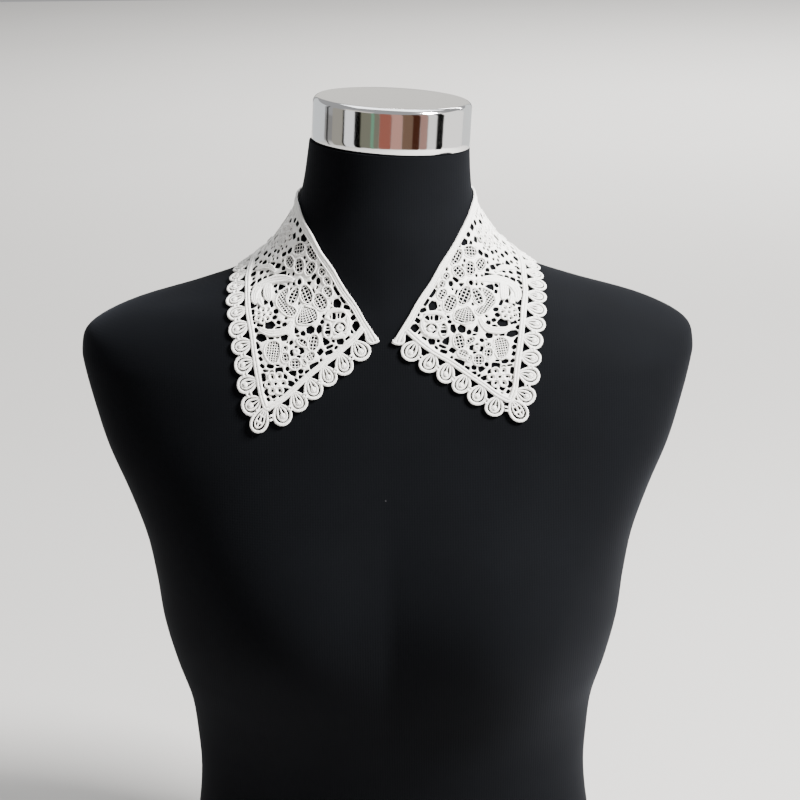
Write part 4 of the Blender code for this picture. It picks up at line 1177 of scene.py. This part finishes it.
ovalCord = {"thick": 1.25, "lift": 0.2, "step": 0.9}
strand = {
    "thick": 1.25, "lift": 0.25, "step": 1.0, "spacing": 2.5, "overlap": 1.35,
    "full": (0.3, 0.7), "waver": 0.04, "beat": 0.9,
}


def factsOf(cord):
    return [cord[fact] for fact in ("width", "thick", "lift", "step")]


def ovalRun(x, y, length, width, heading, count=16):
    turns = np.linspace(0, 2 * math.pi, count, endpoint=False)
    return ovalPoints(x, y, np.cos(turns) * length / 2, np.sin(turns) * width / 2, heading)


def addOval(basket, oval, width):
    basket.add(ovalRun(*oval), width, ovalCord["thick"], ovalCord["lift"], ovalCord["step"], True)


def strands(basket, middle, width, count, ends):
    # a satin ribbon: strands side by side, drawn in at both ends
    line = Line(middle, 10)
    stops = np.linspace(0, line.length, max(4, int(line.length / strand["spacing"])))
    taper = np.interp(stops / line.length, (0, *strand["full"], 1), (ends[0], 1, 1, ends[1]))
    taper = taper * (1 + strand["waver"] * np.sin(stops * strand["beat"]))
    each = width / count
    for k in range(count):
        offset = (k - (count - 1) / 2) * each
        run = np.array([line.beside(way, offset * t) for way, t in zip(stops, taper)])
        basket.add(run, each * strand["overlap"] * taper, strand["thick"], strand["lift"], strand["step"])


def clippedRuns(loop, heading, pitch):
    # straight threads across a closed outline
    angle = math.radians(heading)
    spin = np.array([[math.cos(angle), -math.sin(angle)], [math.sin(angle), math.cos(angle)]])
    flat = loop @ spin
    runs = []
    low, high = flat[:, 1].min(), flat[:, 1].max()
    for y in np.arange(low + pitch * netThread["first"], high - pitch * netThread["last"], pitch):
        crossings = []
        for (ax, ay), (bx, by) in zip(flat, np.roll(flat, -1, axis=0)):
            if (ay > y) != (by > y):
                crossings.append(ax + (y - ay) * (bx - ax) / (by - ay))
        crossings.sort()
        for a, b in zip(crossings[::2], crossings[1::2]):
            if b - a > netThread["shortest"]:
                count = max(2, int((b - a) / netThread["spacing"]) + 2)
                xs = np.linspace(a - netThread["into"], b + netThread["into"], count)
                runs.append(np.stack([xs, np.full(count, y)], 1) @ spin.T)
    return runs


def addThread(basket, run, layer):
    lift = netThread["lift"] + netThread["cross"] * layer
    basket.add(run, netThread["width"], netThread["thick"], lift, netThread["step"])


def addNet(basket, loop, heading, pitch, draws):
    for layer, turn in enumerate((0, 90)):
        for run in clippedRuns(loop, heading + turn, pitch):
            addThread(basket, run + draws.normal(0, netThread["waver"], run.shape), layer)


def addFan(basket, loop, apex, pitch):
    # rays from the apex, crossed by arcs round it
    apex = np.array(apex)
    away = loop - apex
    reach = np.linalg.norm(away, axis=1)
    angles = np.unwrap(np.arctan2(away[:, 1], away[:, 0]))
    middle = (reach.min() + reach.max()) / 2
    ways = np.linspace(0, reach.max() + 1, fanThread["rayPoints"])
    for angle in np.arange(angles.min(), angles.max(), pitch / middle):
        ray = apex + np.outer(ways, (math.cos(angle), math.sin(angle)))
        kept = ray[insideLoop(ray, loop)]
        if len(kept) > 3:
            addThread(basket, kept[:: max(1, len(kept) // fanThread["rayShown"])], 0)
    turns = np.linspace(angles.min(), angles.max(), fanThread["arcPoints"])
    for radius in np.arange(reach.min() + pitch * fanThread["firstArc"], reach.max(), pitch):
        arc = apex + radius * np.stack([np.cos(turns), np.sin(turns)], 1)
        kept = arc[insideLoop(arc, loop)]
        if len(kept) > 4:
            addThread(basket, kept[:: fanThread["every"]], 1)


def addRim(basket, loop):
    # a cord just outside a cut loop
    normals = edgeNormals(loop)
    side = 1 if insideLoop((loop + normals * 0.1)[:1], loop)[0] else -1
    every = max(1, len(loop) // outlineCord["points"])
    rim = (loop - side * normals * outlineCord["out"])[::every]
    basket.add(rim, *factsOf(outlineCord), True)


rosetteShape = {
    # the eyelet, its ring and the cords in mm; the loops' reach, size, hole and ring as shares
    "eyelet": (1.9, 1.8), "ring": (3.4, 3.3), "ringCord": 1.3, "loopCord": 1.15, "thick": 1.2,
    "step": 0.8, "points": 10, "away": 0.64, "size": 0.30, "hole": (0.95, 0.8), "loop": (2.2, 2.0),
}


def addRosette(basket, x, y, reach, loops, heading):
    # a ring of loops round an eyelet; gives the holes to cut under them
    shape = rosetteShape
    small = reach * shape["size"]
    holes = [gapLoop(x, y, *shape["eyelet"], 0)]
    rings = [((x, y, *shape["ring"], 0), shape["ringCord"])]
    for k in range(loops):
        turn = heading + 360 / loops * k
        place = np.array([x, y]) + turned(turn) * reach * shape["away"]
        holes.append(gapLoop(*place, small * shape["hole"][0], small * shape["hole"][1], turn))
        loop = (*place, small * shape["loop"][0], small * shape["loop"][1], turn)
        rings.append((loop, shape["loopCord"]))
    for ring, cord in rings:
        run = ovalRun(*ring, shape["points"])
        basket.add(run, cord, shape["thick"], ovalCord["lift"], shape["step"], True)
    return holes


def drawBand(basket):
    # the edge cord turns round the front end, and the wide middle and the inner cord start inside it
    length = neckLine.length
    for name in ("edge", "middle", "inner"):
        offset, start, width, thick, lift, step = band[name]
        close = np.linspace(start, start + band["closeFor"], band["closePoints"])
        even = np.arange(start + band["closeFor"] + band["step"], length - 2, band["step"])
        stops = np.array([*close, *even, length - band["short"]])
        share = np.clip(1 - (stops - band["flareFrom"]) / band["flareFor"], 0, 1)
        flare = 1 + (band["flareBy"] - 1) * share ** band["flareCurve"]
        run = np.array([neckLine.beside(way, offset * f) for way, f in zip(stops, flare)])
        if name == "edge":
            run = np.vstack([bandTurn[::-1], run])
        else:
            width = width * (flare * np.clip((stops - start) / band["beginFor"], band["beginShare"], 1))
        basket.add(run, width, thick, lift, step)


def drawBraid(basket):
    for side in (-0.5, 0.5):
        offset = side * braid["apart"]
        end = bottomLine.length - braid["round"]
        bottom = bottomLine.run(braid["from"], end, braid["bottomSpacing"], offset)
        edge = sideLine.run(braid["round"], sideLine.length, braid["sideSpacing"], offset)
        basket.add(np.vstack([bottom, edge]), *factsOf(braid))


petalRuns = {
    # half of each ring of a petal, from its root to its tip, its middle at nought: along, beside, width
    "outer": [(-7.9, 0.6, 1.1), (-6.2, 1.5, 1.15), (-4.3, 3.1, 1.45), (-2.1, 4.45, 1.8), (0.4, 4.95, 1.9),
              (2.8, 4.4, 1.9), (4.6, 2.6, 1.9), (5.3, 0, 1.9)],
    "inner": [(-6.3, 0.5, 0.8), (-4.7, 1.2, 1.0), (-2.7, 2.1, 1.3), (-0.4, 2.55, 1.45), (1.6, 2.2, 1.45),
              (2.8, 1.15, 1.45), (3.15, 0, 1.45)],
}
petalInside = [
    # the slim spoke, the heart and its ridge: run, widths, thickness, lift, step, closed or not
    ([(-7.2, 0), (-3.0, 0), (-0.6, 0)], (0.7, 0.9, 1.4), 1.2, 0.2, 1.3),
    (ovalRun(0.5, 0, 2.3, 2.1, 0, 8), 1.5, 1.4, 0.2, 1.0, True),
    ([(-0.6, 0), (0.5, 0), (1.6, 0)], 1.5, 1.45, 0.3, 1.1),
]
petalRing = {"thick": 1.1, "step": 1.0, "outer": 0.1, "inner": 0.15}
petalBar = {"width": 1.3, "thick": 1.25, "lift": 0.2, "step": 1.0, "places": ((0.9, 1.1), (-1.5, 1.2))}
cornerShape = {
    # the long petal at the corner is the same one drawn longer
    "longer": 1.22, "wider": 1.03,
    # ring, share of its width, thickness, lift, step
    "rings": (("outer", 1.0, 1.4, 0.1, 1.0), ("inner", 0.72, 1.5, 0.1, 1.0)),
    # a spine and two cross bars: run, widths, thickness, lift, step
    "bars": (
        ([(-6.6, 0), (-2.0, 0.1), (3.6, 0)], (1.1, 1.2, 1.2), 1.3, 0.2, 1.2),
        ([(0.0, -2.9), (0.35, 0), (0.1, 2.9)], 1.5, 1.3, 0.2, 1.0),
        ([(-3.4, -1.9), (-2.9, 0), (-3.4, 1.9)], 1.3, 1.3, 0.2, 1.0),
    ),
}


def mirroredRun(half):
    # the run's points and widths, up one side and down the other
    whole = np.array([*half, *[(x, -y, w) for x, y, w in half[-2::-1]]])
    return whole[:, :2], whole[:, 2]


def petalPattern():
    # one petal as cords about its own middle, its tip towards +X
    pattern = Basket()
    for ring, half in petalRuns.items():
        run, widths = mirroredRun(half)
        pattern.add(run, widths, petalRing["thick"], petalRing[ring], petalRing["step"])
    for run in petalInside:
        pattern.add(*run)
    return pattern.guide("petal_pattern")


def drawCorner(basket):
    # two rings, a spine and two cross bars leave four larger holes
    along = turned(cornerPetal["heading"])
    beside = np.array([-along[1], along[0]])
    longer, wider = cornerShape["longer"], cornerShape["wider"]

    def placed(run):
        return [cornerPetal["centre"] + along * x * longer + beside * y * wider for x, y in run]

    for ring, share, *facts in cornerShape["rings"]:
        run, widths = mirroredRun(petalRuns[ring])
        basket.add(placed(run), widths * share, *facts)
    for run, *facts in cornerShape["bars"]:
        basket.add(placed(run), *facts)


def drawBars(basket, row):
    # neighbours are joined by two short bars with a pinhole between
    for one, other in zip(row, row[1:]):
        middle = (np.array(one["centre"]) + other["centre"]) / 2
        across = np.array(other["centre"]) - one["centre"]
        across = across / np.linalg.norm(across)
        outward = turned((one["heading"] + other["heading"]) / 2)
        for shift, half in petalBar["places"]:
            ends = [middle + outward * shift - across * half, middle + outward * shift + across * half]
            basket.add(ends, *factsOf(petalBar))


def drawPetals(row, tree, material, sides):
    # the row of petals as swept points and faces
    pattern = petalPattern()
    pattern.hide_render = True
    row = [each for each in row if each["onLine"]]
    mesh = bpy.data.meshes.new("petal_points")
    mesh.from_pydata([(*each["centre"], 0) for each in row], [], [])
    facts = {
        "heading": [math.radians(each["heading"]) for each in row],
        "longer": [each["halfLength"] / petal["halfLength"] for each in row],
        "wider": [each["halfWidth"] / petal["drawn"] for each in row],
    }
    for name, values in facts.items():
        setFacts(mesh, name, values)
    guide = bpy.data.objects.new("petal_points", mesh)
    bpy.context.scene.collection.objects.link(guide)
    made = plainMesh(guide, tree, {"Sides": sides, "Petal": pattern, "Material": material})
    bpy.data.objects.remove(pattern)
    return made


def sprayPlace(k, along, across):
    # flat place and heading of a spot in the k-th spray, counted from the centre back
    way = neckLine.length - k * sprays["pitch"] + along
    base = neckLine.heading(min(way, neckLine.length - 0.5))
    start = neckLine.at(min(way, neckLine.length)) + turned(base) * max(0, way - neckLine.length)
    return start + turned(base - 90) * across, base


sprays = {"pitch": 28.2, "count": 5, "seamMargin": 1.2, "from": 84.0, "ribbonsFrom": 90.0, "apart": 0.85}
sprayHeart = {"across": 22.6, "length": 4.0, "width": 3.8, "cord": 1.4}
pinholes = {
    "pitch": 3.3, "length": 2.45, "width": 1.9, "clear": 0.7, "apart": 0.56, "uneven": 0.25,
    "rowsFrom": 7.0, "rowsTo": 95.0, "row": 0.87, "from": 1.4,
}
sprayGaps = [
    # along, across, length, width, heading from the along direction, corners
    (-9.5, 12.4, 5.4, 4.2, 20, 5), (0.0, 10.2, 5.2, 4.0, 0, 4), (9.5, 12.4, 5.4, 4.2, -20, 5),
    (14.1, 19.4, 4.6, 4.0, 90, 4), (14.1, 28.6, 5.6, 4.2, 90, 4), (-9.6, 35.6, 5.2, 4.2, -30, 5),
    (0.0, 33.2, 5.0, 4.2, 90, 4), (9.6, 35.6, 5.2, 4.2, 30, 5), (-5.4, 43.4, 5.8, 3.8, 0, 4),
    (5.4, 43.4, 5.8, 3.8, 0, 4), (14.1, 40.6, 3.4, 2.6, 90, 4), (-4.8, 8.4, 2.6, 1.6, 0, 4),
    (4.8, 8.4, 2.6, 1.6, 0, 4), (10.8, 17.8, 2.4, 1.6, 40, 0), (-10.8, 17.8, 2.4, 1.6, -40, 0),
    (0.0, 37.6, 2.6, 1.6, 0, 4), (0.0, 22.6, 2.4, 2.2, 0, 6),
]
sprayNets = [
    # the flower's petals: along, across, length, width, heading, thread pitch
    (6.2, 20.0, 6.6, 4.4, 22, 1.55), (-6.2, 20.0, 6.6, 4.4, 158, 1.55), (0.0, 16.2, 6.2, 4.6, 90, 1.55),
    (4.6, 26.8, 6.6, 4.4, -52, 1.55), (-4.6, 26.8, 6.6, 4.4, 232, 1.55),
]
sprayRibbons = [
    # middle line as along and across, width, strands, share of the width at each end
    ([(-12.6, 41.4), (-9.6, 40.4), (-5.0, 39.4), (-1.6, 35.6)], 2.8, 2, (0.5, 0.5)),
    ([(12.6, 41.4), (9.6, 40.4), (5.0, 39.4), (1.6, 35.6)], 2.8, 2, (0.5, 0.5)),
]


def clearOf(loop, others, edge, apart):
    # whether a gap leaves enough cloth between itself, the other gaps and the edge
    middle = loop.mean(0)
    if not insideLoop(loop, edge).all() or nearest(loop, edge).min() < apart:
        return False
    for other in others:
        if np.linalg.norm(other.mean(0) - middle) < gapRound["near"]:
            inside = insideLoop(loop, other).any() or insideLoop(other, loop).any()
            if inside or nearest(loop, other).min() < apart:
                return False
    return True


def drawSprays(gaps, cords, threads, edge, draws):
    # the back has one spray again and again, each mirrored about its own middle
    spots = [(*gap, 0) for gap in sprayGaps] + [(*net[:5], 0, net[5]) for net in sprayNets]
    for k in range(sprays["count"]):
        for along, across, length, width, heading, corners, pitch in spots:
            if k == 0 and along + length / 2 > -sprays["seamMargin"]:
                continue
            place, base = sprayPlace(k, along, across)
            loop = gapLoop(*place, length, width, base + heading, corners)
            if place[1] < sprays["from"] or not clearOf(loop, gaps, edge, sprays["apart"]):
                continue
            gaps.append(loop)
            if pitch:
                addNet(threads, loop, base + heading, pitch, draws)
                addRim(cords, loop)
        for middle, width, count, ends in sprayRibbons:
            if k > 0 or max(along for along, _ in middle) < 0:
                run = [sprayPlace(k, *p)[0] for p in middle]
                if min(p[1] for p in run) > sprays["ribbonsFrom"]:
                    strands(cords, run, width, count, ends)
        place, base = sprayPlace(k, 0, sprayHeart["across"])
        if k > 0 and place[1] > sprays["from"]:
            addOval(cords, (*place, sprayHeart["length"], sprayHeart["width"], base), sprayHeart["cord"])


def drawPinholes(gaps, cords, edge, draws):
    # rows of pinholes fill what the motifs leave
    step = pinholes["pitch"]
    size = pinholes["length"], pinholes["width"]
    runs = np.array([(x, y) for x, y, _ in cords.points])
    wide = np.array([fact[0] for fact in cords.facts])
    rows = np.arange(pinholes["rowsFrom"], pinholes["rowsTo"], step * pinholes["row"])
    for row, across in enumerate(rows):
        for way in np.arange(pinholes["from"] + step / 2 * (row % 2), neckLine.length, step):
            place, base = sprayPlace(0, -way, across)
            place = place + draws.normal(0, pinholes["uneven"], 2)
            away = np.linalg.norm(runs - place, axis=1) - wide
            loop = gapLoop(*place, *size, base + 90 * draws.random(), 0)
            if away.min() > pinholes["clear"] and clearOf(loop, gaps, edge, pinholes["apart"]):
                gaps.append(loop)


def opened(rows, others):
    # draws each gap as wide as the bars round it allow
    loops = [gapLoop(*gap) for gap in rows]
    for k, (x, y, length, width, *rest) in enumerate(rows):
        near = [loop for n, loop in enumerate(loops + others) if n != k]
        near = [loop for loop in near if np.linalg.norm(loop.mean(0) - (x, y)) < gapRound["near"]]
        for more in gapRound["wider"]:
            grown = gapLoop(x, y, length + more, width + more, *rest)
            if all(nearest(grown, loop).min() > gapRound["bar"] for loop in near):
                loops[k] = grown
                break
    return loops


def cut(edge, row):
    # everything but the petals, in the flat: gaps, cords and nets
    draws = np.random.default_rng(seed)
    cords, threads = Basket(), Basket()
    netLoops = opened([net[:5] for net in nets], [])
    gaps = opened(frontGaps, netLoops)
    drawBand(cords)
    drawBraid(cords)
    drawBars(cords, row)
    drawCorner(cords)
    for ribbon in ribbons:
        strands(cords, *ribbon)
    for *oval, width in outlines:
        addOval(cords, oval, width)
    for loop, net in zip(netLoops, nets):
        gaps.append(loop)
        addNet(threads, loop, net[4], net[5] * netThread["wider"], draws)
        addRim(cords, loop)
    for shape in netShapes.values():
        loop = closedCurve(shape["outline"], ground["edgeStep"])
        gaps.append(loop)
        if "fanFrom" in shape:
            addFan(threads, loop, shape["fanFrom"], shape["pitch"])
        else:
            addNet(threads, loop, shape["heading"], shape["pitch"], draws)
        addRim(cords, loop)
    for rosette in rosettes:
        gaps += addRosette(cords, *rosette)
    drawSprays(gaps, cords, threads, edge, draws)
    drawPinholes(gaps, cords, edge, draws)
    return gaps, cords, threads


lie = {
    # each half slips and turns a little as it is laid: mm at the place, and the change per mm of x and y
    "place": (55.0, 20.0), "steadyAbove": 85.0, "gone": (80.0, 150.0),
    "left": {"slip": (-0.16, -1.45), "byX": (0.0215, 0.0033), "byY": (-0.0068, -0.0310), "phase": 0.6},
    "right": {"slip": (0.80, -0.85), "byX": (-0.0050, -0.0347), "byY": (0.0239, 0.0400), "phase": 2.1},
}
drift = {"most": 0.22, "waves": ((0.31, 0.12, 1), (-0.09, 0.27, 2))}


def lying(flat, half):
    # the slip dies away over the shoulder, so the halves meet behind
    x, y = flat.T
    fromX, fromY = x - lie["place"][0], np.minimum(y, lie["steadyAbove"]) - lie["place"][1]
    full, none = lie["gone"]
    share = np.clip((none - y) / (none - full), 0, 1)
    how = lie[half]
    slip = np.array(how["slip"]) + np.outer(fromX, how["byX"]) + np.outer(fromY, how["byY"])
    return flat + slip * (share * share * (3 - 2 * share))[:, None]


def settled(flat, phase):
    # cloth is never quite even: a slow drift of a fraction of a millimetre
    x, y = flat.T
    waves = [np.sin(x * right + y * up + phase * times) for right, up, times in drift["waves"]]
    return flat + drift["most"] * np.stack(waves, 1)


def laidPiece(name, parts, half, material):
    # joins flat parts, lays them on the form and gives one object; the right half is mirrored
    points, threads, faces = [], [], []
    for flat, thread, some in parts:
        start = sum(len(p) for p in points)
        points.append(flat)
        threads.append(thread)
        faces += [tuple(k + start for k in face) for face in some]
    flat = np.vstack(points)
    even = settled(flat[:, :2], lie[half]["phase"])
    placed = wrapped(lying(even, half), flat[:, 2])
    placed[:, 0] = np.maximum(placed[:, 0], seamGap / 2)
    if half == "right":
        placed = placed * (-1, 1, 1)
        faces = [face[::-1] for face in faces]
    made = meshObject(name, placed, faces)
    for label, values in zip(("along", "across"), np.vstack(threads).T):
        setFacts(made.data, label, values)
    return finishPiece(made, material)


lace = {
    "low": (0.80, 0.785, 0.75), "high": (0.88, 0.872, 0.85), "cloud": (35.0, 3.0),
    "stitch": 0.42, "stitchShare": 0.35, "grain": (950.0, 4.0), "grainRough": 0.65,
    "grainShare": 3.0, "relief": (0.75, 0.0002),
    "look": {
        "Roughness": 0.62, "Specular IOR Level": 0.35, "Sheen Weight": 0.2, "Sheen Roughness": 0.4,
    },
}


def laceMaterial():
    material, tree, shader = newMaterial("white_lace", lace["look"])
    place = objectPlace(tree)
    cloud = noiseOf(tree, place, *lace["cloud"])
    tree.links.new(blendOf(tree, cloud, lace["low"], lace["high"]), shader.inputs["Base Color"])
    # stitches lie across each cord; the ground stores none, so only the fine grain shows on it
    way = addNode(tree, "ShaderNodeAttribute", attribute_name="along").outputs["Fac"]
    stitch = mathOf(tree, "SINE", mathOf(tree, "MULTIPLY", way, 2 * math.pi / lace["stitch"]))
    grain = noiseOf(tree, place, *lace["grain"], Roughness=lace["grainRough"])
    ridges = mathOf(tree, "MULTIPLY", stitch, lace["stitchShare"])
    grains = mathOf(tree, "MULTIPLY", grain, lace["grainShare"])
    roughen(tree, shader, mathOf(tree, "ADD", ridges, grains), *lace["relief"])
    return material


cordSides = 7
netSides = 4


def makeLace():
    material = laceMaterial()
    row = petalRow()
    edge = bodyOutline()
    gaps, cords, threads = cut(edge, row)
    flat, lift, faces = groundMesh(edge, gaps)
    groundPart = (np.column_stack([flat, lift]), np.zeros((len(flat), 2)), faces)
    print("ground:", len(faces), "faces,", len(gaps), "gaps")
    values = {"Sides": cordSides, "Material": material}
    cordPart = plainMesh(cords.guide("cord_runs"), cordTree(), values)
    threadPart = plainMesh(threads.guide("net_runs"), cordTree(), {**values, "Sides": netSides})
    petalPart = drawPetals(row, petalTree(), material, cordSides)
    print("cords:", len(cordPart[2]), "net:", len(threadPart[2]), "petals:", len(petalPart[2]))
    for half, node in (("left", "lace_left"), ("right", "lace_right")):
        cloth = laidPiece(node + "_cloth", [groundPart, petalPart, cordPart], half, material)
        nets = laidPiece(node + "_nets", [threadPart], half, material)
        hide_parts(node)
    print("both halves are laid on the form")


makeForm()
makeCap()
print("form and cap are made")
makeLace()
